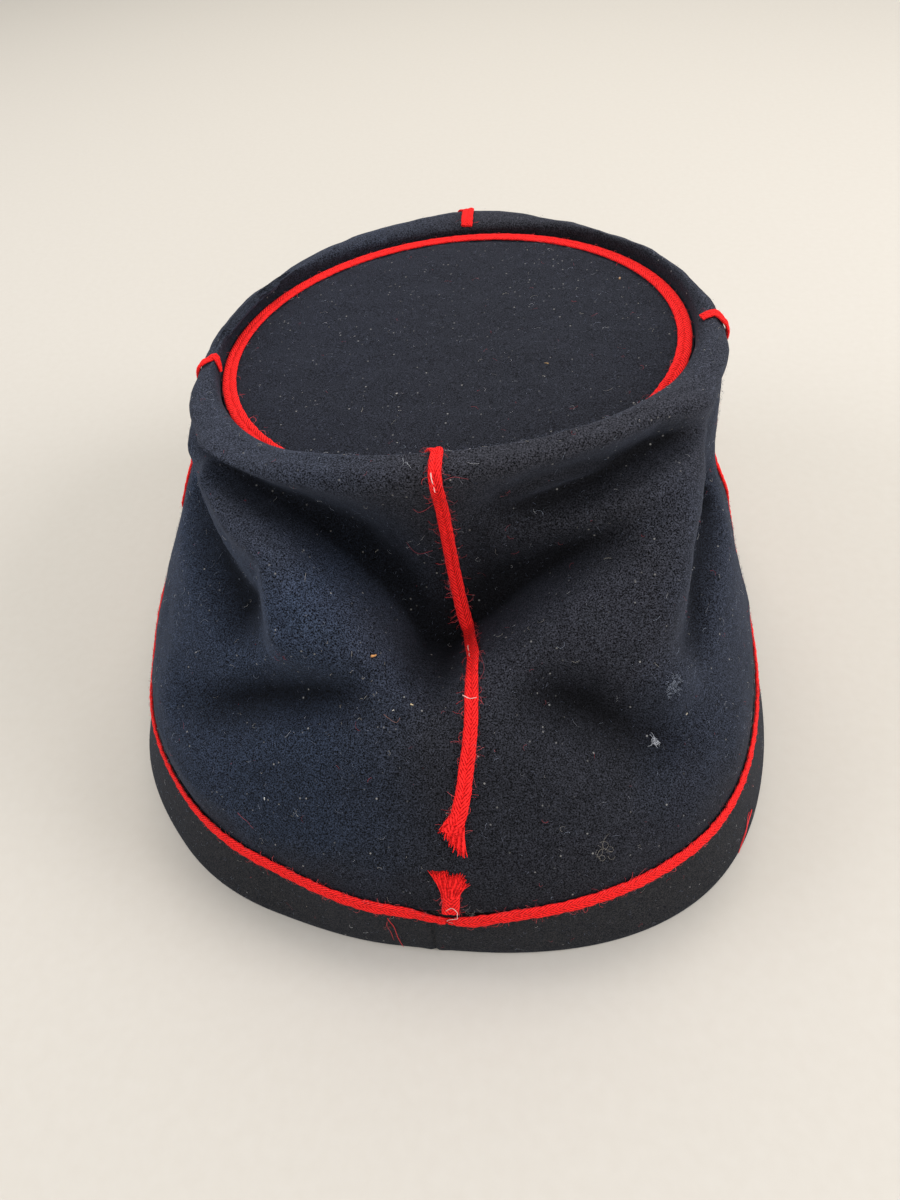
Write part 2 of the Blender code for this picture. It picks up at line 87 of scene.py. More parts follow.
FOLD_TABLE = {
    "name": ("left cheek", "left hollow", "left low valley", "right cheek", "right hollow", "right waist",
             "right flank", "right low valley", "right crease", "right small ridge", "left collar fill"),
    "from_bearing": (48, 67, 41, -55, -60, -62, -74, -11, -58, -48, 86),
    "from_share": (0.86, 0.69, 0.272, 0.86, 0.61, 0.70, 0.38, 0.52, 0.865, 0.832, 0.86),
    "via_bearing": (28, 50, 27, -42, -47, -80, -80, -23, -42, -30, 75),
    "via_share": (0.760, 0.645, 0.402, 0.67, 0.545, 0.58, 0.30, 0.425, 0.916, 0.818, 0.845),
    "to_bearing": (23.5, 36.5, 8.5, -37.5, -41, -110, -88, -37, -12, -12, 66),
    "to_share": (0.59, 0.595, 0.497, 0.43, 0.465, 0.50, 0.20, 0.25, 0.912, 0.80, 0.825),
    "outer_width_mm": (5.0, 9.0, 6.0, 6.5, 7.2, 15.0, 11.0, 7.0, 7.0, 5.5, 5.0),
    "inner_width_mm": (11.0, 7.0, 6.2, 12.0, 7.2, 15.0, 11.0, 7.0, 3.6, 5.5, 5.0),
    "lift_mm": (6.0, -8.5, -7.0, 6.0, -6.5, -7.1, -1.8, -7.0, -7.8, 5.8, 2.2),
    "fade": (0, 0, 0.6, 0, 0, 0, 0, 0.7, 0.6, 0.5, 0),
}

# Where each climbing braid runs on the cloth, and how wide it lies there.
BACK_BRAID_TABLE = {
    "share": (0.197, 0.212, 0.235, 0.33, 0.435, 0.53, 0.55, 0.57, 0.60, 0.66, 0.785, 0.90, 1.0, 1.2),
    "bearing": (-3.9, -4.1, -4.7, -5.6, -6.2, -6.3, -6.3, -5.3, -4.1, -2.7, -1.3, -0.8, -0.3, -0.2),
    "width_mm": (4.8, 4.1, 3.4, 3.1, 2.8, 2.9, 3.1, 3.1, 3.1, 3.0, 2.8, 2.7, 2.6, 2.6),
}
FRONT_BRAID_TABLE = {"share": (0.075, 0.5, 0.95, 1.28), "bearing": (178.7, 178.7, 178.9, 180.2),
                     "width_mm": (3, 3.4, 3.4, 3.4)}
LEFT_BRAID_TABLE = {
    "share": (0.075, 0.14, 0.20, 0.26, 0.32, 0.38, 0.44, 0.50, 0.56, 0.60, 0.64, 0.72, 0.87, 0.94, 1.0, 1.36),
    "bearing": (97.5, 97, 95.6, 93.6, 90.6, 87, 83.4, 82, 81.2, 83.6, 84.4, 84, 83, 79.5, 79.5, 79.5),
    "width_mm": (3, 3, 3, 3, 3, 3, 3, 3, 3, 3, 3, 2.8, 2.6, 2.6, 2.6, 2.6),
}
RIGHT_BRAID_TABLE = {
    "share": (0.075, 0.14, 0.20, 0.26, 0.32, 0.38, 0.44, 0.50, 0.53, 0.57, 0.65, 0.72, 0.88, 0.94, 1.0, 1.18),
    "bearing": (-99, -98, -97, -95, -91.5, -89, -86, -84, -86, -89, -91, -93, -91, -84.5, -84.5, -84.5),
    "width_mm": (3, 3, 3, 3, 3, 3, 3, 3, 3, 3, 3, 3, 3, 3, 3, 3),
}
STUB_TABLE = {"share": (0.0, 0.03, 0.055), "bearing": (-3.6, -3.75, -3.7), "width_mm": (3.7, 3.6, 4.0)}

# Yarns that have come apart at a braid's end: how far across each one starts and points, and its size.
BACK_END_YARNS = {
    "start_mm": (-1.6, -0.9, 0.0, 0.8, 1.6),
    "end_mm": (-3.3, -2.0, -0.6, 0.8, 2.0),
    "length_mm": (5.2, 4.8, 3.9, 2.9, 1.8),
    "radius_mm": (0.65, 0.6, 0.6, 0.55, 0.62),
}
BASE_RIGHT_END_YARNS = {
    "start_mm": (-0.8, 0.0, 0.6),
    "end_mm": (-0.5, 0.1, 0.7),
    "length_mm": (1.2, 1.6, 1.2),
    "radius_mm": (0.5, 0.5, 0.5),
}
BASE_LEFT_END_YARNS = {
    "start_mm": (-0.4, 0.1, 0.5),
    "end_mm": (-0.3, 0.5, 1.5),
    "length_mm": (1.5, 2.2, 1.6),
    "radius_mm": (0.35, 0.35, 0.3),
}
STUB_END_YARNS = {
    "start_mm": (-1.3, -0.9, -0.4, 0.1, 0.6, 1.0, 1.3),
    "end_mm": (-3.4, -2.3, -1.2, 0.2, 1.7, 2.4, 2.7),
    "length_mm": (5.6, 5.5, 5.8, 4.7, 5.2, 4.2, 3.0),
    "radius_mm": (0.55, 0.6, 0.6, 0.65, 0.6, 0.6, 0.6),
}

# The base braid's two ends meet at the back, where it has sagged a little onto the band.
BASE_ENDS_BEARING, BASE_ENDS_APART = -3.5, 1.2
BASE_BRAID_TABLE = {
    "bearing": (-180, -24, -14, -9, -5.8, -4.1, -2.8, -1.8, 1.5, 5, 14, 180),
    "width_mm": (3.4, 3.4, 3.5, 3.8, 4.2, 3.1, 2.1, 2.4, 3.4, 3.8, 3.4, 3.4),
    "sag_mm": (0, 0, 0.5, 1.5, 2.9, 3.0, 2.9, 2.5, 1.0, 0.5, 0, 0),
}

# Loose threads and hairs through spots of the cloth; shares under 0 are on the band, -1 at its foot.
THREAD_TABLE = {
    "name": ("long hanging end", "short hanging end", "thread on the band", "second strand", "pale tie",
             "upper stitch", "lower stitch", "cross stitch", "hair right of braid", "hair left of braid",
             "low hair left of braid", "loop at the crease", "red curl on the left", "curl by the fleck"),
    "tint": ("#d42a2e", "#c02a30", "#dc2c30", "#b92c34", "#d9b9b2", "#f0c9c0", "#ecc4ba", "#e5b3ac",
             "#a83a45", "#a8323c", "#8e2e3a", "#8e3a44", "#9a3a42", "#9a6a58"),
    "radius_mm": (0.12, 0.08, 0.20, 0.13, 0.10, 0.16, 0.14, 0.14, 0.045, 0.05, 0.045, 0.05, 0.05, 0.045),
    "lift_mm": (0.25, 0.3, 0.15, 0.15, 1.0, 0.95, 0.95, 0.95, 0.5, 0.5, 0.4, 0.6, 0.3, 0.3),
    "bearings": ((4.6, 4.3, 4.0, 3.8, 3.3), (4.7, 4.9, 4.5, 4.4), (-50.2, -49.3, -47.8, -46.4, -44.9),
                 (-49.4, -48.4, -47.0, -45.5), (-3.1, -3.9, -4.5, -4.1, -3.4, -3.1, -3.8), (0.15, -0.1, -0.4),
                 (-5.4, -5.7, -6.0), (-5.2, -6.1, -7.0), (-2.0, -3.8, -6.0), (0.0, 1.8, 3.4, 4.2),
                 (2.0, 4.4, 6.3, 7.0), (-6.8, -7.7, -8.1, -7.3), (26.4, 25.2, 24.4, 23.6),
                 (6.3, 5.6, 4.4, 3.9)),
    "shares": ((-0.22, -0.32, -0.47, -0.68, -0.96), (-0.30, -0.45, -0.62, -0.80),
               (-0.74, -0.80, -0.83, -0.88, -0.97), (-0.70, -0.76, -0.84, -0.92),
               (0.012, 0.02, 0.005, -0.02, -0.06, -0.10, -0.13), (0.958, 0.944, 0.928), (0.560, 0.553, 0.546),
               (0.482, 0.478, 0.480), (0.945, 0.949, 0.943), (0.902, 0.888, 0.884, 0.890),
               (0.790, 0.784, 0.797, 0.812), (0.562, 0.552, 0.532, 0.508), (0.112, 0.106, 0.100, 0.094),
               (0.442, 0.436, 0.428, 0.438)),
}

# Where lint has gathered: how widely it lies about each spot, and what its fibres are like.
LINT_TABLE = {
    "name": ("worn patch", "pale clump", "grey tangle", "hairs by the joint", "fluff at the left end",
             "fluff by the fold", "curls at the rim"),
    "bearing": (-35.3, -32.5, -22.3, -6.2, 4.8, 10.0, 5.0),
    "share": (0.405, 0.28, 0.115, 0.0, -0.45, 0.50, 0.985),
    "spread_mm": (2.3, 0.7, 1.5, 1.5, 1.2, 9.0, 1.4),
    "count": (70, 26, 10, 7, 12, 14, 3),
    "length_mm": (0.9, 1.5, 3.4, 2.8, 1.8, 1.2, 2.0),
    "curl": (1.0, 4.5, 3.5, 3.0, 5.0, 2.0, 3.5),
    "radius_mm": (0.032, 0.05, 0.035, 0.03, 0.03, 0.035, 0.035),
    "tint": ("#7f8693", "#b4b7be", "#827d74", "#7c7875", "#7a4244", "#a39c90", "#a3a6ac"),
}

# Straw-coloured specks: on the side by bearing and share, on the top by how far left and back it lies.
SIDE_FLECKS = {
    "bearing": (9.5, 2.8, 5.0, 22.5, -38.2),
    "share": (0.565, 0.463, 0.452, 0.182, 0.307),
    "length_mm": (1.3, 0.6, 0.4, 0.5, 0.5),
    "tint": ("#c98f55", "#c3b08c", "#b8b2a4", "#c9c9c4", "#b0a898"),
}
TOP_FLECKS = {
    "left_mm": (-24.0, -43.0, 12.0, 26.0),
    "back_mm": (13.0, -25.5, 22.0, -6.0),
    "length_mm": (1.0, 1.1, 0.5, 0.5),
    "tint": ("#a88a5e", "#9a7a5a", "#8f8c88", "#8c8c90"),
}

# Each braid's yarn: the node that it replaces, its slot, and how many red hairs it has to a centimetre.
BRAIDS = {
    "ring": ("top_ring_braid", "ring_braid_red", 12),
    "base": ("base_braid", "base_braid_red", 44),
    "back": ("back_braid", "back_braid_red", 44),
    "front": ("front_braid", "front_braid_red", 8),
    "left": ("left_braid", "left_braid_red", 8),
    "right": ("right_braid", "right_braid_red", 8),
    "stub": ("back_braid_stub", "back_braid_stub_red", 90),
}

# A braid is two flat cords side by side, whose strands slant together at the seam between them.
STRAND_PITCH_mm, STRANDS_ROUND, CORD_HALF_THICK = 1.0, 8, 0.42 * mm

# How fine the meshes are. Columns are drawn together at the back, by up to CROWD_BACK degrees.
CROWN_COLUMNS, SIDE_ROWS, ROLL_ROWS = 320, 126, 20
BAND_COLUMNS, CROWD_BACK = 440, 32.0
TOP_COLUMNS, TOP_ROWS = 220, 56
PEAK_COLUMNS, PEAK_ROWS = 121, 34
CORD_CORNERS, FIBRE_CORNERS = 14, 3

# How many ends of nap and hairs of lint lie on the side, and how many on the round top.
NAP_COUNTS, LINT_COUNTS = (7400, 1500), (1100, 260)

# The camera stands behind the cap and looks down on it.
CAMERA_SPOT = (-0.02342, 0.19196, 0.19400)
CAMERA_TURN_DEGREES = (42.920, 3.633, -175.898)
FOCAL_SHARE_OF_HEIGHT = 850.0 / 1200.0

SMALLEST = 1e-9


def smooth_column(table, key, column, at):
    """A table's column read smoothly between its rows, without overshoot; round the cap it closes."""
    knots = np.array(table[key], float)
    values = np.array(table[column], float)
    if knots[-1] - knots[0] >= 360.0:
        knots = np.concatenate([[knots[-2] - 360.0], knots, [knots[1] + 360.0]])
        values = np.concatenate([[values[-2]], values, [values[1]]])
    spans = np.diff(knots)
    rates = np.diff(values) / spans
    slopes = np.zeros(len(knots))
    for i in range(1, len(knots) - 1):
        before, after = rates[i - 1], rates[i]
        if before * after > 0.0:
            weight_before = 2.0 * spans[i] + spans[i - 1]
            weight_after = spans[i] + 2.0 * spans[i - 1]
            slopes[i] = (weight_before + weight_after) / (weight_before / before + weight_after / after)
    at = np.clip(np.asarray(at, float), knots[0], knots[-1] - SMALLEST)
    row = np.clip(np.searchsorted(knots, at, side="right") - 1, 0, len(knots) - 2)
    span = spans[row]
    t = (at - knots[row]) / span
    return ((2 * t**3 - 3 * t**2 + 1) * values[row] + (t**3 - 2 * t**2 + t) * span * slopes[row]
            + (3 * t**2 - 2 * t**3) * values[row + 1] + (t**3 - t**2) * span * slopes[row + 1])


def lengths(table, column, bearing):
    """A table's column of millimetres read at bearings, in metres."""
    return smooth_column(table, "bearing", column, bearing) * mm


def on_cap(x, y, z):
    """Points in the cap's frame from places that count from the middle of the band."""
    return np.stack(np.broadcast_arrays(x + CAP_X, y + CAP_Y, z), axis=-1)


def leaning_oval(bearing, part, outward=0.0):
    """The band's own oval moved in by a part of its lean, then out by a distance."""
    side, back = np.sin(np.radians(bearing)), np.cos(np.radians(bearing))
    reach = (np.abs(side / OVAL_HALF_WIDTH) ** OVAL_POWER
             + np.abs(back / OVAL_HALF_LENGTH) ** OVAL_POWER) ** (-1.0 / OVAL_POWER)
    reach = (reach + lengths(BAND_TABLE, "out_mm", bearing) + outward
             - part * lengths(BAND_TABLE, "lean_mm", bearing))
    return OVAL_X + reach * side, reach * back


def disc_top(x):
    """Height of the round top, which is lower towards the wearer's left."""
    return DISC_HEIGHT - DISC_SIDE_SLOPE * (x - DISC_X)


def pocket(bearing, share):
    """Depth of the fold across the back, as a lift under 0: a roof that hangs from the collar, steeper
    towards it, down to the crease, and the rise of the cloth below."""
    crease, depth_mm, below_mm, collar, steepness = (
        smooth_column(POCKET_TABLE, "bearing", column, bearing)
        for column in ("share", "depth_mm", "below_mm", "collar_share", "steepness"))
    climb = np.clip((share - crease) / np.maximum(collar - crease, 0.02), 0.0, 1.0)
    over = (1.0 - climb**steepness) ** ROOF_ROUND
    under = np.exp(-(np.maximum(crease - share, 0.0) * CLOTH_RISE_mm / below_mm) ** 1.6)
    return -depth_mm * mm * np.where(share >= crease, over, under)


def folds(bearing, share):
    """Summed lift of the smaller folds, worked out on the cloth laid flat."""
    spot = np.stack(np.broadcast_arrays(np.radians(bearing) * UNROLL_RADIUS_mm,
                                        np.asarray(share, float) * CLOTH_RISE_mm), axis=-1)
    total = np.zeros(spot.shape[:-1])
    for row in range(len(FOLD_TABLE["name"])):
        stops = [np.array((math.radians(FOLD_TABLE[end + "_bearing"][row]) * UNROLL_RADIUS_mm,
                           FOLD_TABLE[end + "_share"][row] * CLOTH_RISE_mm))
                 for end in ("from", "via", "to")]
        nearest, turned, gone = np.full(total.shape, 1000.0), np.zeros(total.shape), np.zeros(total.shape)
        for half, (start, end) in enumerate(zip(stops[:-1], stops[1:])):
            way = end - start
            part = np.clip(((spot - start) @ way) / (way @ way), 0.0, 1.0)
            off = spot - start - part[..., None] * way
            apart = np.linalg.norm(off, axis=-1)
            turned = np.where(apart < nearest, (way[0] * off[..., 1] - way[1] * off[..., 0])
                              / np.linalg.norm(way), turned)
            gone = np.where(apart < nearest, half + part - 1.0, gone)
            nearest = np.minimum(apart, nearest)
        inner = 0.5 - 0.5 * np.clip(turned * np.sign(stops[0][0]) / np.maximum(nearest, 0.1), -1.0, 1.0)
        width = (FOLD_TABLE["outer_width_mm"][row] * (1.0 - inner)
                 + FOLD_TABLE["inner_width_mm"][row] * inner)
        lift = FOLD_TABLE["lift_mm"][row] * mm * (1.0 - FOLD_TABLE["fade"][row] * gone**2)
        total = total + lift * np.exp(-(nearest / width) ** 2)
    return total


def crown_surface(bearing, share):
    """Outer face of the crown's cloth, in the cap's frame, as an array of points."""
    bearing, share = np.broadcast_arrays(np.asarray(bearing, float), np.asarray(share, float))
    side, back = np.sin(np.radians(bearing)), np.cos(np.radians(bearing))
    foot_x, foot_y = leaning_oval(bearing, 1.0)
    reach = lengths(RIM_TABLE, "reach_mm", bearing)
    crest_x, crest_y = RIM_X + reach * side, RIM_Y + reach * back
    crest_z = disc_top(crest_x) + lengths(RIM_TABLE, "rise_mm", bearing)
    way_x, way_y, way_z = crest_x - foot_x, crest_y - foot_y, crest_z - CROWN_FOOT
    flat = np.hypot(way_x, way_y)
    length = np.hypot(flat, way_z)
    out_x, out_y, out_z = -way_x / flat * way_z / length, -way_y / flat * way_z / length, flat / length

    part = np.clip(share, 0.0, 1.0)
    lift = (lengths(BAND_TABLE, "belly_mm", bearing)
            * np.interp(part, BELLY_TABLE["share"], BELLY_TABLE["part_of_belly"]))
    ends = np.clip(part / 0.12, 0.0, 1.0) * np.clip((1.0 - part) / 0.06, 0.0, 1.0)
    lift = lift + (folds(bearing, part) + pocket(bearing, part)) * ends
    roll = np.exp(-(((part - ROLL_SHARE) / ROLL_SPREAD) ** 2)) * np.clip((1.0 - part) / 0.02, 0.0, 1.0)
    lift = lift + ROLL_OUT * roll
    x, y = foot_x + way_x * part + out_x * lift, foot_y + way_y * part + out_y * lift
    z = CROWN_FOOT + way_z * part + out_z * lift

    away = np.hypot(x - DISC_X, y - DISC_Y)
    over_edge = np.clip((z - disc_top(x) + 3.0 * DISC_THICK) / (2.0 * DISC_THICK), 0.0, 1.0)
    push = np.maximum(DISC_RADIUS + DISC_HOLDS_OUT - away, 0.0) * over_edge * (share < 0.97)
    x, y = x + (x - DISC_X) / away * push, y + (y - DISC_Y) / away * push

    over = np.clip((share - 1.0) / (ROLL_END - 1.0), 0.0, 1.0)
    edge_x = DISC_X + (DISC_RADIUS + DISC_GAP) * side
    edge_y = DISC_Y + (DISC_RADIUS + DISC_GAP) * back
    edge_z = disc_top(edge_x) - DISC_THICK
    inward = 1.0 - (1.0 - np.clip(over * 1.6, 0.0, 1.0)) ** 2
    x = x + (edge_x - crest_x) * inward
    y = y + (edge_y - crest_y) * inward
    z = z + (edge_z - crest_z) * over**1.7
    return on_cap(x, y, z)


def unit(vectors):
    return vectors / np.maximum(np.linalg.norm(vectors, axis=-1, keepdims=True), SMALLEST)


def crown_frame(bearing, share):
    """Points of the crown's cloth with the outward normal and the way up the cloth at each."""
    across = crown_surface(bearing + 0.6, share) - crown_surface(bearing - 0.6, share)
    up = unit(crown_surface(bearing, share + 0.008) - crown_surface(bearing, share - 0.008))
    return crown_surface(bearing, share), unit(np.cross(up, across)), up


def band_face(bearing, height):
    """Points of the band's outer face."""
    x, y = leaning_oval(bearing, height / CROWN_FOOT)
    return on_cap(x, y, height)


def side_frame(bearing, share):
    """As crown_frame, and below share 0 the same for the band, down to -1 at its foot."""
    bearing, share = np.broadcast_arrays(np.asarray(bearing, float), np.asarray(share, float))
    height = BAND_HEIGHT * (1.0 + np.minimum(share, 0.0))
    across = band_face(bearing + 0.6, height) - band_face(bearing - 0.6, height)
    up = unit(band_face(bearing, height + mm) - band_face(bearing, height - mm))
    on_band = band_face(bearing, height), unit(np.cross(up, across)), up
    on_crown = crown_frame(bearing, np.maximum(share, 0.01))
    return [np.where((share < 0.0)[..., None], low, high) for low, high in zip(on_band, on_crown)]


def top_frame(left, back):
    """Points, normals and the way back on the round top, by how far they lie from its middle."""
    x = DISC_X + left
    sunk = TOP_SAG * (1.0 - np.hypot(left, back) ** 2 / DISC_RADIUS**2)
    points = on_cap(x, DISC_Y + back, disc_top(x) - sunk)
    flat = unit(np.array([DISC_SIDE_SLOPE, 0.0, 1.0]))
    return points, np.broadcast_to(flat, points.shape), np.broadcast_to((0.0, 1.0, 0.0), points.shape)


def linear(hex_colour):
    """An sRGB hex colour as the linear RGBA that a shader's socket takes."""
    parts = [int(hex_colour[i:i + 2], 16) / 255.0 for i in (1, 3, 5)]
    return tuple(c / 12.92 if c <= 0.04045 else ((c + 0.055) / 1.055) ** 2.4 for c in parts) + (1.0,)


def add(tree, kind, values=None, links=None):
    """Add a node, give its sockets or settings their values, and link its inputs."""
    made = tree.nodes.new(kind)
    for key, value in (values or {}).items():
        if isinstance(key, int) or key in made.inputs:
            made.inputs[key].default_value = value
        else:
            setattr(made, key, value)
    for key, source in (links or {}).items():
        tree.links.new(source, made.inputs[key])
    return made


def new_material(name):
    """A material, its nodes, its shader, and the places on the cap that its textures are read at."""
    material = bpy.data.materials.new(name)
    material.use_nodes = True
    tree = material.node_tree
    place = add(tree, "ShaderNodeTexCoord").outputs["Object"]
    return material, tree, tree.nodes["Principled BSDF"], place


def per_mm(size_mm):
    """A noise texture's scale for features of that real size."""
    return 1000.0 / size_mm


def felted_wool(name, blue, plain, speck_share, nap_contrast):
    """Milled wool broadcloth, dyed dark: a short matted nap hides the weave, scatters light softly, and holds
    pale specks of lint. The nap is drawn coarser than real so that it shows. Its colour holds painted
    shade in the folds, painted light on the ridges and more painted light towards the top. The blue on
    the cap's left and far right, less near foot and rim, is partly the dyed colour and partly painted cool
    light."""
    material, tree, shader, place = new_material(name)
    fold_shade = add(tree, "ShaderNodeAttribute", {"attribute_name": "fold_shade"})
    axes = add(tree, "ShaderNodeSeparateXYZ", {}, {"Vector": place})
    patches = add(tree, "ShaderNodeTexNoise", {"Scale": per_mm(26.0), "Detail": 2.0}, {"Vector": place})
    moved = add(tree, "ShaderNodeMath", {"operation": "MULTIPLY_ADD", 1: 0.024, 2: -0.012},
                {0: patches.outputs["Fac"]})
    across = add(tree, "ShaderNodeMath", {"operation": "ADD"}, {0: axes.outputs["X"], 1: moved.outputs[0]})
    up = add(tree, "ShaderNodeMath", {"operation": "ADD"}, {0: axes.outputs["Z"], 1: moved.outputs[0]})
    clumps = add(tree, "ShaderNodeTexNoise", {"Scale": per_mm(2.4), "Detail": 2.0, "Roughness": 0.6},
                 {"Vector": place})
    nap = add(tree, "ShaderNodeTexNoise", {"Scale": per_mm(0.31), "Detail": 1.0, "Roughness": 0.7},
              {"Vector": place})
    cells = add(tree, "ShaderNodeTexVoronoi", {"Scale": per_mm(1.3)}, {"Vector": place})
    pick = add(tree, "ShaderNodeSeparateColor", {}, {"Color": cells.outputs["Color"]})
    few = add(tree, "ShaderNodeMath", {"operation": "GREATER_THAN", 1: 1.0 - speck_share},
              {0: pick.outputs["Red"]})
    parts = {}
    for key, value, start, end, low, high in (
            # Blue that is partly in the dyed wool and partly painted cool light, on the left and the far
            # right.
            ("blue and cool light on the left", across.outputs[0], -0.005, 0.020, 0.1, 0.75),
            ("blue and cool light on the right", across.outputs[0], -0.046, -0.060, 0.0, 0.3),
            ("over the foot", up.outputs[0], 0.020, 0.032, 0.0, 1.0),
            ("under the rim", up.outputs[0], 0.066, 0.082, 1.0, 0.4),
            ("clump light", clumps.outputs["Fac"], 0.3, 0.7, 0.86, 1.14),
            ("nap light", nap.outputs["Fac"], 0.36, 0.72, 0.0, nap_contrast),
            # Painted shade in the folds, and a little painted light on the ridges.
            ("painted fold shade", fold_shade.outputs["Fac"], 0.0, 1.0, 0.20, 1.12),
            # Painted light: the cloth is made lighter towards the top, where more light falls.
            ("painted light upward", axes.outputs["Z"], 0.015, 0.085, 0.8, 1.55),
            ("speck", cells.outputs["Distance"], 0.20, 0.12, 0.0, 1.0)):
        parts[key] = add(tree, "ShaderNodeMapRange",
                         {"From Min": start, "From Max": end, "To Min": low, "To Max": high},
                         {"Value": value}).outputs["Result"]
    both_sides = add(tree, "ShaderNodeMath", {"operation": "ADD"},
                     {0: parts["blue and cool light on the left"], 1: parts["blue and cool light on the right"]})
    products = []
    for factors in ((both_sides.outputs[0], parts["over the foot"], parts["under the rim"]),
                    (parts["clump light"], parts["nap light"], parts["painted fold shade"], parts["painted light upward"]),
                    (parts["speck"], few.outputs[0], pick.outputs["Green"])):
        so_far = factors[0]
        for factor in factors[1:]:
            so_far = add(tree, "ShaderNodeMath", {"operation": "MULTIPLY"}, {0: so_far, 1: factor}).outputs[0]
        products.append(so_far)
    blue_part, light, speck_part = products
    # The cloth's colour: its blue is partly dyed and partly painted cool light.
    dyed_and_cool_lit = add(tree, "ShaderNodeMix", {"data_type": "RGBA", 6: linear(plain), 7: linear(blue)},
              {"Factor": blue_part})
    cloth = add(tree, "ShaderNodeVectorMath", {"operation": "SCALE"}, {0: dyed_and_cool_lit.outputs[2], "Scale": light})
    colour = add(tree, "ShaderNodeMix", {"data_type": "RGBA", 7: linear("#7d7c7a")},
                 {"Factor": speck_part, 6: cloth.outputs["Vector"]})
    nap_relief = add(tree, "ShaderNodeBump", {"Strength": 0.7, "Distance": 0.15 * mm},
                     {"Height": nap.outputs["Fac"]})
    relief = add(tree, "ShaderNodeBump", {"Strength": 0.5, "Distance": 0.2 * mm},
                 {"Height": clumps.outputs["Fac"], "Normal": nap_relief.outputs["Normal"]})
    shader.inputs["Roughness"].default_value = 0.95
    shader.inputs["Specular IOR Level"].default_value = 0.1
    shader.inputs["Sheen Weight"].default_value = 0.12
    shader.inputs["Sheen Roughness"].default_value = 0.5
    shader.inputs["Sheen Tint"].default_value = linear("#8f9ab4")
    tree.links.new(colour.outputs[2], shader.inputs["Base Color"])
    tree.links.new(relief.outputs["Normal"], shader.inputs["Normal"])
    return material


def plaited_wool(name, bright, deep):
    """Scarlet worsted yarn, plaited flat: fine twisted strands, matt, with painted shade between them and
    painted light on their crowns.
    """
    material, tree, shader, place = new_material(name)
    turn = add(tree, "ShaderNodeAttribute", {"attribute_name": "yarn_turn"})
    fibres = add(tree, "ShaderNodeTexNoise", {"Scale": per_mm(0.42), "Detail": 2.0, "Roughness": 0.6},
                 {"Vector": place})
    twist = add(tree, "ShaderNodeMath", {"operation": "SINE"}, {0: turn.outputs["Fac"]})
    rise = add(tree, "ShaderNodeMath", {"operation": "MULTIPLY_ADD", 1: 0.2},
               {0: twist.outputs[0], 2: fibres.outputs["Fac"]})
    part = add(tree, "ShaderNodeMapRange", {"From Min": 0.24, "From Max": 0.64}, {"Value": rise.outputs[0]})
    # Painted shade between the strands and painted light on their crowns, by the turn of the yarn.
    colour = add(tree, "ShaderNodeMix", {"data_type": "RGBA", 6: linear(deep), 7: linear(bright)},
                 {"Factor": part.outputs["Result"]})
    relief = add(tree, "ShaderNodeBump", {"Strength": 0.7, "Distance": 0.17 * mm},
                 {"Height": rise.outputs[0]})
    shader.inputs["Roughness"].default_value = 0.9
    shader.inputs["Specular IOR Level"].default_value = 0.1
    shader.inputs["Sheen Weight"].default_value = 0.2
    shader.inputs["Sheen Tint"].default_value = linear("#ff4038")
    tree.links.new(colour.outputs[2], shader.inputs["Base Color"])
    tree.links.new(relief.outputs["Normal"], shader.inputs["Normal"])
    return material


def black_leather(name):
    """Vegetable-tanned cowhide, dyed black and waxed: fine pebbled grain, low shine, duller where handled."""
    material, tree, shader, place = new_material(name)
    grain = add(tree, "ShaderNodeTexVoronoi", {"Scale": per_mm(0.9), "feature": "SMOOTH_F1"},
                {"Vector": place})
    wear = add(tree, "ShaderNodeTexNoise", {"Scale": per_mm(14.0), "Detail": 5.0}, {"Vector": place})
    colour = add(tree, "ShaderNodeMix", {"data_type": "RGBA", 6: linear("#131211"), 7: linear("#24211f")},
                 {"Factor": wear.outputs["Fac"]})
    dull = add(tree, "ShaderNodeMapRange",
               {"From Min": 0.35, "From Max": 0.65, "To Min": 0.34, "To Max": 0.5},
               {"Value": wear.outputs["Fac"]})
    relief = add(tree, "ShaderNodeBump", {"Strength": 0.4, "Distance": 0.12 * mm},
                 {"Height": grain.outputs["Distance"]})
    tree.links.new(colour.outputs[2], shader.inputs["Base Color"])
    tree.links.new(dull.outputs["Result"], shader.inputs["Roughness"])
    tree.links.new(relief.outputs["Normal"], shader.inputs["Normal"])
    return material


def stray_fibre(name):
    """Loose wool and cotton fibres: matt, each in its own colour."""
    material, tree, shader, place = new_material(name)
    own = add(tree, "ShaderNodeAttribute", {"attribute_name": "tint"})
    fade = add(tree, "ShaderNodeTexNoise", {"Scale": per_mm(0.8)}, {"Vector": place})
    light = add(tree, "ShaderNodeMapRange", {"To Min": 0.7, "To Max": 1.3}, {"Value": fade.outputs["Fac"]})
    colour = add(tree, "ShaderNodeVectorMath", {"operation": "SCALE"},
                 {0: own.outputs["Color"], "Scale": light.outputs["Result"]})
    shader.inputs["Roughness"].default_value = 0.9
    tree.links.new(colour.outputs["Vector"], shader.inputs["Base Color"])
    return material


def backing_paper(name):
    """Uncoated pale paper: matt, and a little uneven in tone."""
    material, tree, shader, place = new_material(name)
    grain = add(tree, "ShaderNodeTexNoise", {"Scale": per_mm(3.0), "Detail": 4.0}, {"Vector": place})
    colour = add(tree, "ShaderNodeMix", {"data_type": "RGBA", 6: linear("#bcb7ae"), 7: linear("#c1bdb5")},
                 {"Factor": grain.outputs["Fac"]})
    shader.inputs["Roughness"].default_value = 0.9
    tree.links.new(colour.outputs[2], shader.inputs["Base Color"])
    return material


def new_object(name, data):
    """An object of that name in the scene."""
    made = bpy.data.objects.new(name, data)
    bpy.context.scene.collection.objects.link(made)
    return made


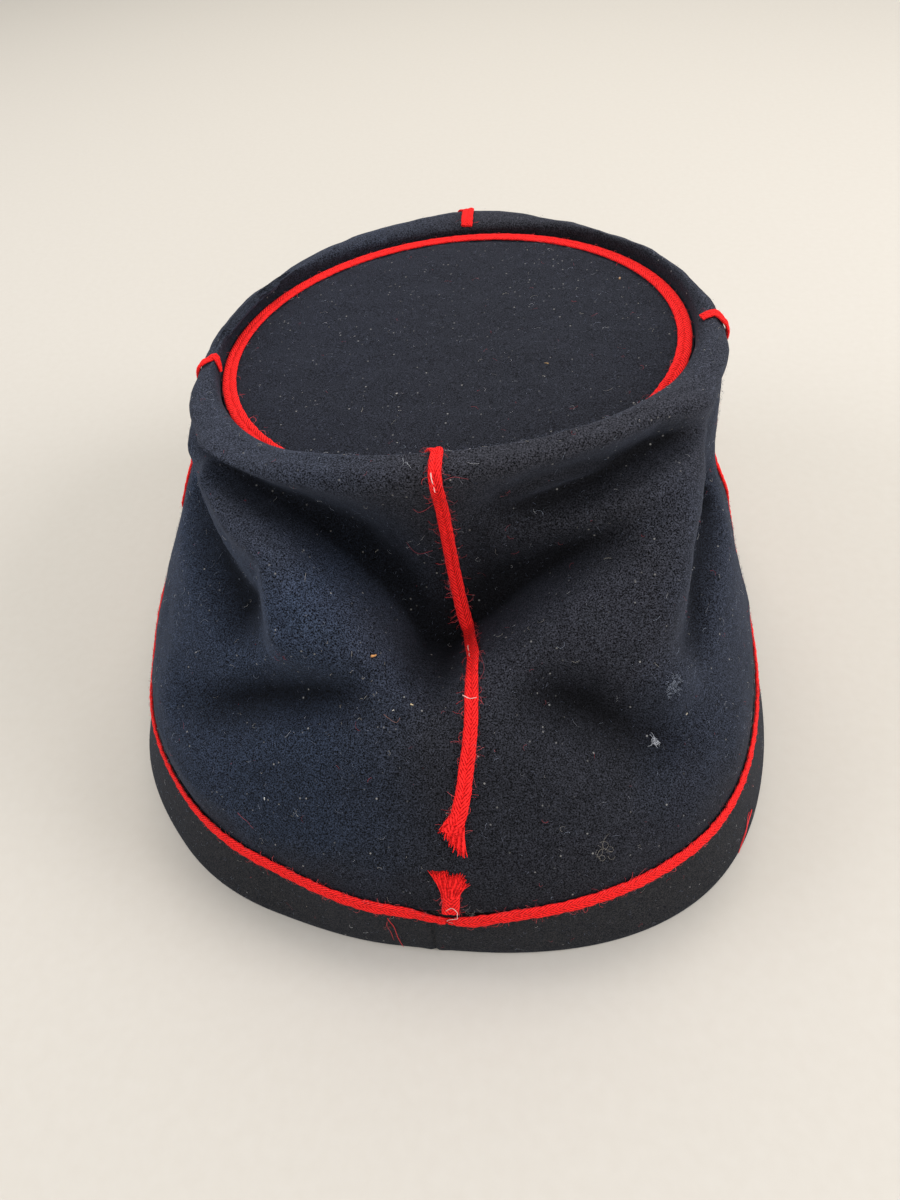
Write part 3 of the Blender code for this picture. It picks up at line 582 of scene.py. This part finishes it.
def make_piece(name, points, faces, material, replaces=None):
    """A smooth-shaded mesh piece that rides on the cap."""
    mesh = bpy.data.meshes.new(name)
    mesh.from_pydata(np.asarray(points, float).reshape(-1, 3).tolist(), [], faces)
    mesh.polygons.foreach_set("use_smooth", [True] * len(mesh.polygons))
    mesh.materials.append(material)
    mesh.update()
    piece = new_object(name, mesh)
    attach(piece, "root")
    if replaces:
        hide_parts(replaces)
    return piece


def give_attribute(piece, name, kind, values):
    """Give a mesh's points a value or a colour each."""
    layer = piece.data.attributes.new(name, kind, "POINT")
    layer.data.foreach_set("value" if kind == "FLOAT" else "color", np.asarray(values, float).ravel())


def grid_faces(columns, rows, closed_columns=True, closed_rows=False):
    """Quads of a loft, column by column, facing outward for columns that run round to +X."""
    i, j = np.meshgrid(np.arange(columns if closed_columns else columns - 1),
                       np.arange(rows if closed_rows else rows - 1), indexing="ij")
    following, above = (i + 1) % columns, (j + 1) % rows
    quads = np.stack([i * rows + j, i * rows + above, following * rows + above, following * rows + j], -1)
    return quads.reshape(-1, 4).tolist()


def unevenness(points, size_mm, octaves):
    """Soft uneven lie of the cloth, from -1 to 1, over features of that size."""
    scale = per_mm(size_mm)
    return np.array([noise.fractal(Vector(p) * scale, 1.0, 2.0, octaves) for p in points.tolist()])


def ruffle(piece, amount, hold=None):
    """Move a mesh's points along their normals by the cloth's uneven lie."""
    mesh = piece.data
    points = np.zeros(len(mesh.vertices) * 3)
    mesh.vertices.foreach_get("co", points)
    points = points.reshape(-1, 3)
    normals = np.zeros(len(mesh.vertices) * 3)
    mesh.vertex_normals.foreach_get("vector", normals)
    lift = amount * (unevenness(points, 13.0, 2) + 0.25 * unevenness(points, 2.6, 2))
    if hold is not None:
        lift = lift * hold
    points = points + normals.reshape(-1, 3) * lift[:, None]
    mesh.vertices.foreach_set("co", points.ravel())
    mesh.update()


def blurred(grid, cells):
    """A loft's points, averaged over so many cells each way."""
    reach = int(3 * cells)
    weights = np.exp(-0.5 * (np.arange(-reach, reach + 1) / cells) ** 2)
    weights /= weights.sum()
    round_about = np.pad(grid, ((reach, reach), (0, 0), (0, 0)), mode="wrap")
    grid = sum(w * round_about[k:k + len(grid)] for k, w in enumerate(weights))
    up_down = np.pad(grid, ((0, 0), (reach, reach), (0, 0)), mode="reflect", reflect_type="odd")
    return sum(w * up_down[:, k:k + grid.shape[1]] for k, w in enumerate(weights))


def fold_shade_mask(grid):
    """How far the cloth stands clear of the cloth round it: 0 deep in a fold, 1 on a ridge. It is compared
    with the cloth a few cells of the loft away, and with that further away. The wool's colour is darkened
    by it as painted shade in the folds, and lightened a little as painted light on the ridges."""
    normals = unit(np.cross(np.gradient(grid, axis=1), np.roll(grid, -1, 0) - np.roll(grid, 1, 0)))
    near, far = (np.sum((blurred(grid, cells) - grid) * normals, axis=-1) / mm for cells in (5.8, 14.5))
    return np.clip(0.62 - 0.22 * near - 0.07 * far, 0.0, 1.0)


def thicken(piece, thickness):
    """Give a sheet its thickness, inward from its face."""
    solid = piece.modifiers.new("cloth thickness", "SOLIDIFY")
    solid.thickness = thickness
    solid.offset = -1.0
    solid.use_even_offset = False


def loft_bearings(columns):
    """Bearings of a loft's columns, closer together at the back where the folds are."""
    turn = np.arange(columns) / columns * 2.0 - 1.0
    return 180.0 * turn - CROWD_BACK * np.sin(math.pi * turn)


def build_crown(material):
    """The soft side of the cap, from the band up over the rim and down to the top."""
    bearings = loft_bearings(CROWN_COLUMNS)
    shares = np.concatenate([np.linspace(0.0, 1.0, SIDE_ROWS), np.linspace(1.0, ROLL_END, ROLL_ROWS)[1:]])
    points = crown_surface(bearings[:, None], shares[None, :])
    crown = make_piece("crown_cloth", points, grid_faces(CROWN_COLUMNS, len(shares)), material,
                       "crown")
    hold = np.clip(shares / 0.06, 0, 1) * np.clip((1.2 - shares) / 0.2, 0, 1)
    # Painted shade in the cloth's folds and a little painted light on its ridges.
    give_attribute(crown, "fold_shade", "FLOAT", fold_shade_mask(points))
    ruffle(crown, 0.45 * mm, np.tile(hold, CROWN_COLUMNS))
    thicken(crown, CLOTH)


def rounded_wall(height, wall, steps):
    """Section of a folded cloth wall, up its outer face, over its top, and down: heights and depths."""
    half = wall / 2.0
    outer = [(z, 0.0) for z in np.linspace(half, height - half, steps)]
    turn = [math.pi * k / 6.0 for k in range(1, 6)]
    top = [(height - half + half * math.sin(a), -half + half * math.cos(a)) for a in turn]
    inner = [(z, -wall) for z in np.linspace(height - half, half, 5)]
    foot = [(half - half * math.sin(a), -half - half * math.cos(a)) for a in turn]
    return outer + top + inner + foot


def build_band(material):
    """The folded wall of cloth round the head, with its seam at the back."""
    bearings = loft_bearings(BAND_COLUMNS)
    section = rounded_wall(BAND_HEIGHT, BAND_WALL, 12)
    from_seam_mm = np.radians(bearings - BAND_SEAM_BEARING) * OVAL_HALF_LENGTH / mm
    groove = (0.5 * mm * np.exp(-((from_seam_mm / 0.55) ** 2))
              - 0.25 * mm * np.exp(-((from_seam_mm / 2.2) ** 2)))
    columns = []
    for height, depth in section:
        lie = 0.35 * mm * np.sin(np.radians(bearings) * 9.0 + 1.0) * (height / BAND_HEIGHT)
        outward = depth - groove * (depth > -BAND_WALL / 2) + lie * 0.3
        columns.append(on_cap(*leaning_oval(bearings, height / CROWN_FOOT, outward), height))
    band = make_piece("band_cloth", np.stack(columns, axis=1),
                      grid_faces(BAND_COLUMNS, len(section), closed_rows=True), material,
                      "band")
    # An even middle value for the painted fold shade: the band has no folds.
    give_attribute(band, "fold_shade", "FLOAT", np.full(BAND_COLUMNS * len(section), 0.6))


def build_top(material):
    """The round top: nearly flat cloth, drawn down a little where the braid is sewn through it."""
    angle = np.arange(TOP_COLUMNS) / TOP_COLUMNS * 2.0 * math.pi
    reach = np.linspace(0.004, 1.0, TOP_ROWS)[::-1] * DISC_RADIUS
    x = DISC_X + np.sin(angle)[:, None] * reach
    y = DISC_Y + np.cos(angle)[:, None] * reach
    drawn = 0.35 * mm * np.exp(-(((reach - RING_RADIUS) / (1.6 * mm)) ** 2))
    z = disc_top(x) - drawn - TOP_SAG * (1.0 - (reach / DISC_RADIUS) ** 2)
    faces = grid_faces(TOP_COLUMNS, TOP_ROWS)
    faces.append([i * TOP_ROWS + TOP_ROWS - 1 for i in range(TOP_COLUMNS)][::-1])
    top = make_piece("top_cloth", on_cap(x, y, z), faces, material, "top_disc")
    # An even middle value for the painted fold shade: the top has no folds.
    give_attribute(top, "fold_shade", "FLOAT", np.full(TOP_COLUMNS * TOP_ROWS, 0.6))
    ruffle(top, 0.35 * mm, np.tile(np.clip((DISC_RADIUS - reach) / (4 * mm), 0, 1), TOP_COLUMNS))
    thicken(top, DISC_THICK)


def build_peak(material):
    """Crescent of leather in front of the band, sloping down towards the ground, with rounded edges. The
    peak's heights are those of its upper face here, and of its lower face in the solid."""
    least_reach, aside = 0.004, 0.3
    points = []
    for turn in np.linspace(-1.0, 1.0, PEAK_COLUMNS):
        bearing = (180.0 + PEAK_HALF_SPREAD * turn + 180.0) % 360.0 - 180.0
        root_x, root_y = leaning_oval(bearing, 0.2, 0.0003)
        reach = least_reach + (PEAK_REACH - least_reach) * math.cos(turn * math.pi / 2.0) ** 0.75
        aim = math.hypot(root_x * aside, root_y)
        for part in np.linspace(0.0, 1.0, PEAK_ROWS):
            fall = PEAK_ROOT + (PEAK_EDGE - PEAK_ROOT) * (reach * part / PEAK_REACH) ** 0.8
            points.append(on_cap(root_x + root_x * aside / aim * reach * part,
                                 root_y + root_y / aim * reach * part, fall))
    faces = grid_faces(PEAK_COLUMNS, PEAK_ROWS, closed_columns=False)
    peak = make_piece("peak_leather_piece", points, faces, material, "peak")
    peak.data.flip_normals()
    thicken(peak, PEAK_THICK)
    edge = peak.modifiers.new("rounded edge", "BEVEL")
    edge.width = 0.7 * mm
    edge.segments = 3
    edge.angle_limit = math.radians(50.0)


def even_steps(points, step, *others, closed=False):
    """Points and what goes with them, read again at even steps along the line."""
    line = np.vstack([points, points[:1]]) if closed else points
    gone = np.concatenate([[0.0], np.cumsum(np.linalg.norm(np.diff(line, axis=0), axis=1))])
    count = max(int(gone[-1] / step), 4)
    at = np.linspace(0.0, gone[-1], count + 1)[:-1] if closed else np.linspace(0.0, gone[-1], count)
    read = []
    for values in (points, *others):
        values = np.asarray(values, float).reshape(len(points), -1)
        values = np.vstack([values, values[:1]]) if closed else values
        read.append(np.stack([np.interp(at, gone, values[:, k]) for k in range(values.shape[1])], axis=-1))
    return gone[-1], at, read


def slope_along(points, closed):
    """Which way a line runs at each of its points."""
    if closed:
        return unit(np.roll(points, -1, axis=0) - np.roll(points, 1, axis=0))
    return unit(np.gradient(points, axis=0))


def tube(centres, normals, half_width, half_thick, closed, corners):
    """Points and faces of a flattened yarn along a line; its corners are counted from underneath."""
    along = slope_along(centres, closed)
    across = unit(np.cross(along, normals))
    up = np.cross(across, along)
    a = (np.arange(corners) / corners - 0.25) * 2.0 * math.pi
    half_width = np.broadcast_to(half_width, len(centres))[:, None, None]
    half_thick = np.broadcast_to(half_thick, len(centres))[:, None, None]
    rings = (centres[:, None] + across[:, None] * np.cos(a)[:, None] * half_width
             + up[:, None] * np.sin(a)[:, None] * half_thick)
    faces = grid_faces(len(centres), corners, closed_columns=closed, closed_rows=True)
    if not closed:
        faces.append(list(range(corners)))
        faces.append([(len(centres) - 1) * corners + k for k in range(corners)][::-1])
    return rings.reshape(-1, 3), faces


class Bundle:
    """Meshes that are gathered into one piece, with the turn of the yarn at each point."""

    def __init__(self):
        self.points, self.faces, self.turns, self.count = [], [], [], 0

    def take(self, points, faces, turn):
        self.points.append(points)
        self.faces += [[k + self.count for k in face] for face in faces]
        self.turns.append(np.broadcast_to(turn, len(points)))
        self.count += len(points)

    def piece(self, name, material, slot, replaces):
        made = make_piece(name, np.concatenate(self.points), self.faces, material, replaces)
        give_attribute(made, "yarn_turn", "FLOAT", np.concatenate(self.turns))


def corner_turns(rings):
    """How far round the yarn each of its corners lies, for so many rings."""
    return np.tile(np.arange(CORD_CORNERS) / CORD_CORNERS * 2.0 * math.pi, rings)


def braid(bundle, points, normals, widths, random, closed=False):
    """Two cords with opposite twist along a line that lies on the cloth."""
    length, at, (line, normals, widths) = even_steps(points, 0.28 * mm, normals, widths, closed=closed)
    normals = unit(normals)
    turns = length / (STRAND_PITCH_mm * mm)
    if closed:
        turns = round(turns)
    across = np.cross(slope_along(line, closed), normals)
    for side in (-1.0, 1.0):
        waves = [random.uniform() + round(length / (wave * mm)) * at / length for wave in (2.3, 3.7, 7.1)]
        waver = sum(0.035 * mm * np.sin(2.0 * math.pi * wave) for wave in waves)
        height = CORD_HALF_THICK + 0.08 * mm + waver
        centres = (line + across * (side * 0.235 * widths + waver[:, None] * 0.8)
                   + normals * height[:, None])
        rings, faces = tube(centres, normals, 0.275 * widths[:, 0], CORD_HALF_THICK, closed, CORD_CORNERS)
        along = np.repeat(2.0 * math.pi * turns * at / length, CORD_CORNERS)
        bundle.take(rings, faces, along + side * STRANDS_ROUND * corner_turns(len(line)))


def climbing_line(table):
    """Where a braid lies on the crown: points, outward normals and widths."""
    shares = np.linspace(table["share"][0], table["share"][-1], 160)
    bearings = smooth_column(table, "share", "bearing", shares)
    points, normals, _ = crown_frame(bearings, shares)
    blur = np.hanning(9) / np.hanning(9).sum()
    padded = np.pad(normals, ((4, 4), (0, 0)), mode="edge")
    normals = unit(np.stack([np.convolve(padded[:, k], blur, mode="valid") for k in range(3)], axis=-1))
    return points, normals, smooth_column(table, "share", "width_mm", shares) * mm


def ring_line():
    """The braid round the top's edge."""
    angle = np.arange(720) / 720 * 2.0 * math.pi
    x, y = DISC_X + RING_RADIUS * np.sin(angle), DISC_Y + RING_RADIUS * np.cos(angle)
    points = on_cap(x, y, disc_top(x) - 0.25 * mm)
    normals = np.broadcast_to(unit(np.array([DISC_SIDE_SLOPE, 0.0, 1.0])), points.shape)
    return points, normals, np.full(len(points), BRAID_WIDTH)


def base_line():
    """The braid over the joint of band and crown, from end to end round the cap."""
    gone = np.linspace(BASE_ENDS_APART / 2.0, 360.0 - BASE_ENDS_APART / 2.0, 1081)
    bearings = (BASE_ENDS_BEARING - gone + 180.0) % 360.0 - 180.0
    sag = lengths(BASE_BRAID_TABLE, "sag_mm", bearings)
    half = BRAID_WIDTH / 2.0
    under = band_face(bearings, CROWN_FOOT - half - sag)
    over = np.where((sag < half)[:, None], crown_surface(bearings, 0.026 * np.maximum(1.0 - sag / half, 0.0)),
                    band_face(bearings, np.minimum(CROWN_FOOT + half - sag, CROWN_FOOT)))
    points = (under + over) / 2.0
    normals = unit(np.cross(over - under, np.gradient(points, axis=0)))
    outward = np.sum(normals[:, :2] * points[:, :2], axis=1, keepdims=True)
    normals = np.where(outward < 0, -normals, normals)
    return points + normals * (0.25 * mm), normals, lengths(BASE_BRAID_TABLE, "width_mm", bearings)


def loose_yarns(bundle, root, along, normal, yarns, random, hairs=16):
    """Thick soft yarns fanned out over the cloth past a braid's end, each ending in a tuft of hairs."""
    across = unit(np.cross(along, normal))
    t = np.linspace(0.0, 1.0, 12)
    sizes = (np.multiply(yarns[key], mm) for key in ("start_mm", "end_mm", "length_mm", "radius_mm"))
    for start, end, length, radius in zip(*sizes):
        sideways = start + (end - start) * t**1.3
        line = (root + along * (length * t)[:, None] + across * sideways[:, None]
                + normal * (radius * (0.95 - 0.25 * t))[:, None])
        size = radius * (1.0 - 0.25 * t) * np.sqrt(np.clip(1.04 - t**6, 0.0, 1.0))
        rings, faces = tube(line, np.broadcast_to(normal, line.shape), size, size * 0.8, False, CORD_CORNERS)
        bundle.take(rings, faces, 3.0 * corner_turns(len(t)) + np.repeat(4.0 * t, CORD_CORNERS))
        for _ in range(hairs):
            from_side, bend = random.uniform(-1.0, 1.0), random.normal(0.0, 0.35)
            begin, more = random.uniform(0.35, 0.8), random.uniform(0.0, 0.9) * mm
            part = np.linspace(begin, 1.0, 8)
            reach = length * part + more * (part - begin) / (1.0 - begin)
            hair = (root + along * reach[:, None]
                    + across * (start + (end - start) * part**1.3 + from_side * radius * (0.8 + 0.3 * part)
                                + bend * mm * (part - begin) ** 2 * 4.0)[:, None]
                    + normal * (radius * random.uniform(0.5, 1.6) * (1.1 - 0.4 * part))[:, None])
            size = random.uniform(0.06, 0.11) * mm * (1.0 - 0.5 * (part - begin))
            rings, faces = tube(hair, np.broadcast_to(normal, hair.shape), size, size, False, 4)
            bundle.take(rings, faces, random.uniform(0.0, 6.0))


def build_braids():
    """Every braid's yarn; gives back the lines that the braids follow."""
    random = np.random.default_rng(11)
    lines = {"ring": ring_line(), "base": base_line(), "back": climbing_line(BACK_BRAID_TABLE),
             "front": climbing_line(FRONT_BRAID_TABLE), "left": climbing_line(LEFT_BRAID_TABLE),
             "right": climbing_line(RIGHT_BRAID_TABLE), "stub": climbing_line(STUB_TABLE)}
    for key, (points, normals, widths) in lines.items():
        bundle = Bundle()
        braid(bundle, points, normals, widths, random, closed=key == "ring")
        if key == "back":
            loose_yarns(bundle, points[3], unit(points[0] - points[3]), normals[0], BACK_END_YARNS, random)
        if key == "stub":
            loose_yarns(bundle, points[-20], unit(points[-1] - points[-6]), normals[-1], STUB_END_YARNS,
                        random, hairs=40)
        if key == "base":
            for end, before, yarns in ((0, 4, BASE_RIGHT_END_YARNS), (-1, -5, BASE_LEFT_END_YARNS)):
                loose_yarns(bundle, points[end], unit(points[end] - points[before]), normals[end],
                            yarns, random)
        node, slot, _ = BRAIDS[key]
        # Its darker red is painted shade between the strands.
        material = plaited_wool(key + "_scarlet_worsted", "#fb2a29", "#980306")
        bundle.piece(key + "_braid_yarn", material, slot, node)
    return lines


class Fibres:
    """Thin curled fibres, each with its own colour, gathered into one piece."""

    def __init__(self, seed, steps=7):
        self.random = np.random.default_rng(seed)
        self.steps = steps
        self.points, self.faces, self.colours, self.count = [], [], [], 0

    def lay(self, roots, headings, normals, length_mm, radius_mm, curl, lift_mm, tints):
        """Fibres from their roots, curling over the cloth; each value is one number or one for each."""
        many = len(roots)
        t = np.linspace(0.0, 1.0, self.steps)
        side = np.cross(normals, headings)
        bend = np.broadcast_to(curl, many)[:, None] * t
        step = np.broadcast_to(length_mm, many) * mm / (self.steps - 1)
        forward = (np.cumsum(np.cos(bend), axis=1) - 1.0) * step[:, None]
        sideways = np.cumsum(np.sin(bend), axis=1) * step[:, None]
        rise = 0.5 + np.sin(math.pi * t) * self.random.uniform(0.2, 1.0, (many, 1))
        height = np.broadcast_to(lift_mm, many)[:, None] * mm * rise
        centres = (roots[:, None] + headings[:, None] * forward[..., None]
                   + side[:, None] * sideways[..., None] + normals[:, None] * height[..., None])
        radii = np.broadcast_to(radius_mm, many)[:, None] * mm * (1.0 - 0.4 * t)
        self.take(centres, normals[:, None], radii, np.array([linear(c) for c in tints])[:, None])

    def take(self, centres, normals, radii, colours):
        """Round tubes along lines of equal step counts: centres (lines, steps, 3)."""
        lines, steps = centres.shape[:2]
        along = unit(np.gradient(centres, axis=1))
        across = unit(np.cross(along, normals))
        over = np.cross(across, along)
        a = np.arange(FIBRE_CORNERS) / FIBRE_CORNERS * 2.0 * math.pi
        ring = across[:, :, None] * np.cos(a)[:, None] + over[:, :, None] * np.sin(a)[:, None]
        points = centres[:, :, None] + ring * radii[..., None, None]
        size = steps * FIBRE_CORNERS
        starts = self.count + size * np.arange(lines)[:, None, None]
        walls = np.array(grid_faces(steps, FIBRE_CORNERS, closed_columns=False, closed_rows=True))
        tips = np.array([range(FIBRE_CORNERS), range(size - 1, size - 1 - FIBRE_CORNERS, -1)])
        self.faces += (walls + starts).reshape(-1, 4).tolist() + (tips + starts).reshape(-1, 3).tolist()
        self.points.append(points.reshape(-1, 3))
        self.colours.append(np.broadcast_to(colours[:, :, None], points.shape[:3] + (4,)).reshape(-1, 4))
        self.count += lines * size

    def piece(self, name, material, slot):
        made = make_piece(name, np.concatenate(self.points), self.faces, material)
        give_attribute(made, "tint", "FLOAT_COLOR", np.concatenate(self.colours))


def any_heading(random, normals, up):
    """Ways along the cloth, one at random for each spot."""
    turn = random.uniform(0.0, 2.0 * math.pi, len(normals))[:, None]
    return unit(up * np.cos(turn) + np.cross(up, normals) * np.sin(turn))


def scattered(random, side_count, top_count, rear_part):
    """Random spots on the side, more of them at the back, and on the round top."""
    bearings = np.where(random.uniform(size=side_count) < rear_part, random.uniform(-95.0, 95.0, side_count),
                        random.uniform(-180.0, 180.0, side_count))
    shares = random.uniform(-0.9, 1.15, side_count)
    shares = np.where(shares < 0.0, np.where(random.uniform(size=side_count) < 0.3, shares, -shares), shares)
    angle = random.uniform(0.0, 2.0 * math.pi, top_count)
    reach = np.sqrt(random.uniform(0.0, 0.90, top_count)) * DISC_RADIUS
    side = side_frame(bearings, shares)
    top = top_frame(reach * np.sin(angle), reach * np.cos(angle))
    return [np.concatenate(pair) for pair in zip(side, top)]


def build_braid_fuzz(lines, material):
    """Short red hairs that stand out from the braids' edges."""
    fuzz = Fibres(5, steps=6)
    random = fuzz.random
    for key, (points, normals, widths) in lines.items():
        length, _, (line, normal, width) = even_steps(points, 0.5 * mm, normals, widths, closed=key == "ring")
        _, _, hairs_per_cm = BRAIDS[key]
        count = int(length / (10.0 * mm) * hairs_per_cm)
        pick = random.integers(0, len(line), count)
        along = slope_along(line, key == "ring")[pick]
        normal = unit(normal[pick])
        across = unit(np.cross(along, normal)) * random.choice((-1.0, 1.0), count)[:, None]
        turn = random.uniform(-1.2, 1.2, count)[:, None]
        roots = line[pick] + across * width[pick] * random.uniform(0.30, 0.5, (count, 1)) + normal * 0.2 * mm
        fuzz.lay(roots, unit(across * np.cos(turn) + along * np.sin(turn)), normal,
                 random.uniform(0.45, 1.9, count) ** 1.6, random.uniform(0.022, 0.042, count),
                 random.normal(0.0, 2.8, count), random.uniform(0.2, 0.8, count),
                 random.choice(("#d8363a", "#b5262c", "#e2555a", "#8e1f28", "#7c2a34"), count))
    fuzz.piece("braid_fuzz", material, "base_braid_red")


def build_cloth_nap(material):
    """Short ends of the cloth's own wool that stand up from the nap and soften its outline."""
    nap = Fibres(31, steps=4)
    random = nap.random
    roots, normals, up = scattered(random, *NAP_COUNTS, 0.78)
    many = len(roots)
    nap.lay(roots, any_heading(random, normals, up), normals, random.uniform(0.4, 1.0, many),
            random.uniform(0.012, 0.022, many), random.normal(0.0, 1.4, many),
            random.uniform(0.1, 0.55, many),
            random.choice(("#2b3244", "#3c4458", "#555d70", "#6d7486", "#23262e"), many))
    nap.piece("cloth_nap", material, "crown_wool")


def build_cloth_lint(material):
    """Pale and red hairs caught in the nap, gathered in a few places, and straw-coloured specks."""
    lint = Fibres(23)
    random = lint.random
    roots, normals, up = scattered(random, *LINT_COUNTS, 0.8)
    many = len(roots)
    lint.lay(roots, any_heading(random, normals, up), normals, random.uniform(0.35, 1.75, many) ** 1.7,
             random.uniform(0.010, 0.024, many), random.normal(0.0, 2.4, many),
             random.uniform(0.12, 0.4, many),
             random.choice(("#b9b4a8", "#8d8f96", "#c9c9cc", "#a6343a", "#6f7484", "#9aa3b4"), many))
    for row in range(len(LINT_TABLE["name"])):
        spot = {key: values[row] for key, values in LINT_TABLE.items()}
        many = spot["count"]
        away = np.clip(random.normal(0.0, 0.5, (2, many)), -1.0, 1.0) * spot["spread_mm"]
        roots, normals, up = side_frame(spot["bearing"] + away[0] / 1.6,
                                        spot["share"] + away[1] / CLOTH_RISE_mm)
        lint.lay(roots, any_heading(random, normals, up), normals,
                 spot["length_mm"] * random.uniform(0.4, 1.2, many), spot["radius_mm"],
                 random.normal(0.0, spot["curl"], many), random.uniform(0.2, 0.7, many),
                 [spot["tint"]] * many)
    on_side = side_frame(SIDE_FLECKS["bearing"], SIDE_FLECKS["share"])
    on_top = top_frame(np.multiply(TOP_FLECKS["left_mm"], mm), np.multiply(TOP_FLECKS["back_mm"], mm))
    for (roots, normals, up), flecks in ((on_side, SIDE_FLECKS), (on_top, TOP_FLECKS)):
        length = np.array(flecks["length_mm"])
        lint.lay(roots, any_heading(random, normals, up), normals, length, 0.08 + 0.2 * length, 0.6, 0.1,
                 flecks["tint"])
    lint.piece("cloth_lint", material, "crown_wool")


def through(stops, steps):
    """A smooth curve through its stops, one to a row."""
    stops = np.vstack([2.0 * stops[0] - stops[1], stops, 2.0 * stops[-1] - stops[-2]])
    t = np.arange(steps)[:, None] / steps
    stretches = [0.5 * (2 * b + (c - a) * t + (2 * a - 5 * b + 4 * c - d) * t**2
                        + (3 * b - a - 3 * c + d) * t**3)
                 for a, b, c, d in zip(stops, stops[1:], stops[2:], stops[3:])]
    return np.vstack(stretches + [stops[-2]])


def build_threads(material):
    """Ends of sewing thread and long hairs that have come loose about the braids."""
    threads = Fibres(41)
    for row in range(len(THREAD_TABLE["name"])):
        way = through(np.stack([THREAD_TABLE["bearings"][row], THREAD_TABLE["shares"][row]], axis=-1), 7)
        points, normals, _ = side_frame(way[:, 0], way[:, 1])
        t = np.linspace(0.0, 1.0, len(way))
        waver = 0.12 * mm * np.sin(9.0 * t + row)[:, None]
        line = points + normals * (THREAD_TABLE["lift_mm"][row] * mm + waver)
        radii = THREAD_TABLE["radius_mm"][row] * mm * (1.0 - 0.45 * t)
        threads.take(line[None], normals[None], radii[None],
                     np.array(linear(THREAD_TABLE["tint"][row]))[None, None])
    threads.piece("loose_threads", material, "base_braid_red")


def build_floor():
    """A wide level floor, which isn't part of the cap."""
    half = 4.0
    mesh = bpy.data.meshes.new("floor")
    mesh.from_pydata([(-half, -half, 0), (half, -half, 0), (half, half, 0), (-half, half, 0)], [],
                     [(0, 1, 2, 3)])
    mesh.materials.append(backing_paper("pale_backing_paper"))
    floor = new_object("floor", mesh)


def build_lights():
    """Daylight from all round, and four large soft lamps."""
    world = bpy.data.worlds.new("studio")
    bpy.context.scene.world = world
    world.use_nodes = True
    background = world.node_tree.nodes["Background"]
    background.inputs["Color"].default_value = linear("#f4f3f0")
    background.inputs["Strength"].default_value = 0.52
    for name, spot, aim, size, power, colour in (
            ("overhead softbox", (0.0, -0.60, 1.05), (0.0, 0.0, 0.05), 1.0, 10.5, "#fffaf2"),
            ("rear softbox", (-0.15, 1.05, 0.60), (0.0, 0.0, 0.06), 0.8, 4.4, "#fffdf8"),
            ("left softbox", (0.95, 0.15, 0.62), (0.0, 0.0, 0.05), 0.6, 5.4, "#f2f4ff"),
            ("right softbox", (-0.95, 0.10, 0.62), (0.0, 0.0, 0.05), 0.6, 9.8, "#fbfaff")):
        lamp = bpy.data.lights.new(name, "AREA")
        lamp.size = size
        lamp.energy = power
        lamp.color = linear(colour)[:3]
        holder = new_object(name, lamp)
        holder.location = spot
        holder.rotation_euler = (Vector(aim) - Vector(spot)).to_track_quat("-Z", "Y").to_euler()
    bpy.context.scene.view_settings.view_transform = "Standard"


def build_camera():
    data = bpy.data.cameras.new("camera")
    data.sensor_width = 36.0
    data.lens = FOCAL_SHARE_OF_HEIGHT * data.sensor_width
    data.clip_start = 0.01
    camera = new_object("camera", data)
    camera.location = CAMERA_SPOT
    camera.rotation_euler = Euler([math.radians(a) for a in CAMERA_TURN_DEGREES])
    bpy.context.scene.camera = camera


def main():
    build_camera()
    build_crown(felted_wool("crown_broadcloth", "#181f2b", "#17171a", 0.10, 3.7))
    build_band(felted_wool("band_broadcloth", "#212123", "#222120", 0.06, 3.3))
    # The top's broadcloth is a darker copy of the crown's: painted shade on the flat top.
    build_top(felted_wool("top_broadcloth_darker_copy", "#161922", "#18191e", 0.16, 2.6))
    build_peak(black_leather("waxed_black_leather"))
    lines = build_braids()
    fibre = stray_fibre("stray_fibre")
    build_braid_fuzz(lines, fibre)
    build_cloth_nap(fibre)
    build_cloth_lint(fibre)
    build_threads(fibre)
    build_floor()
    build_lights()


main()
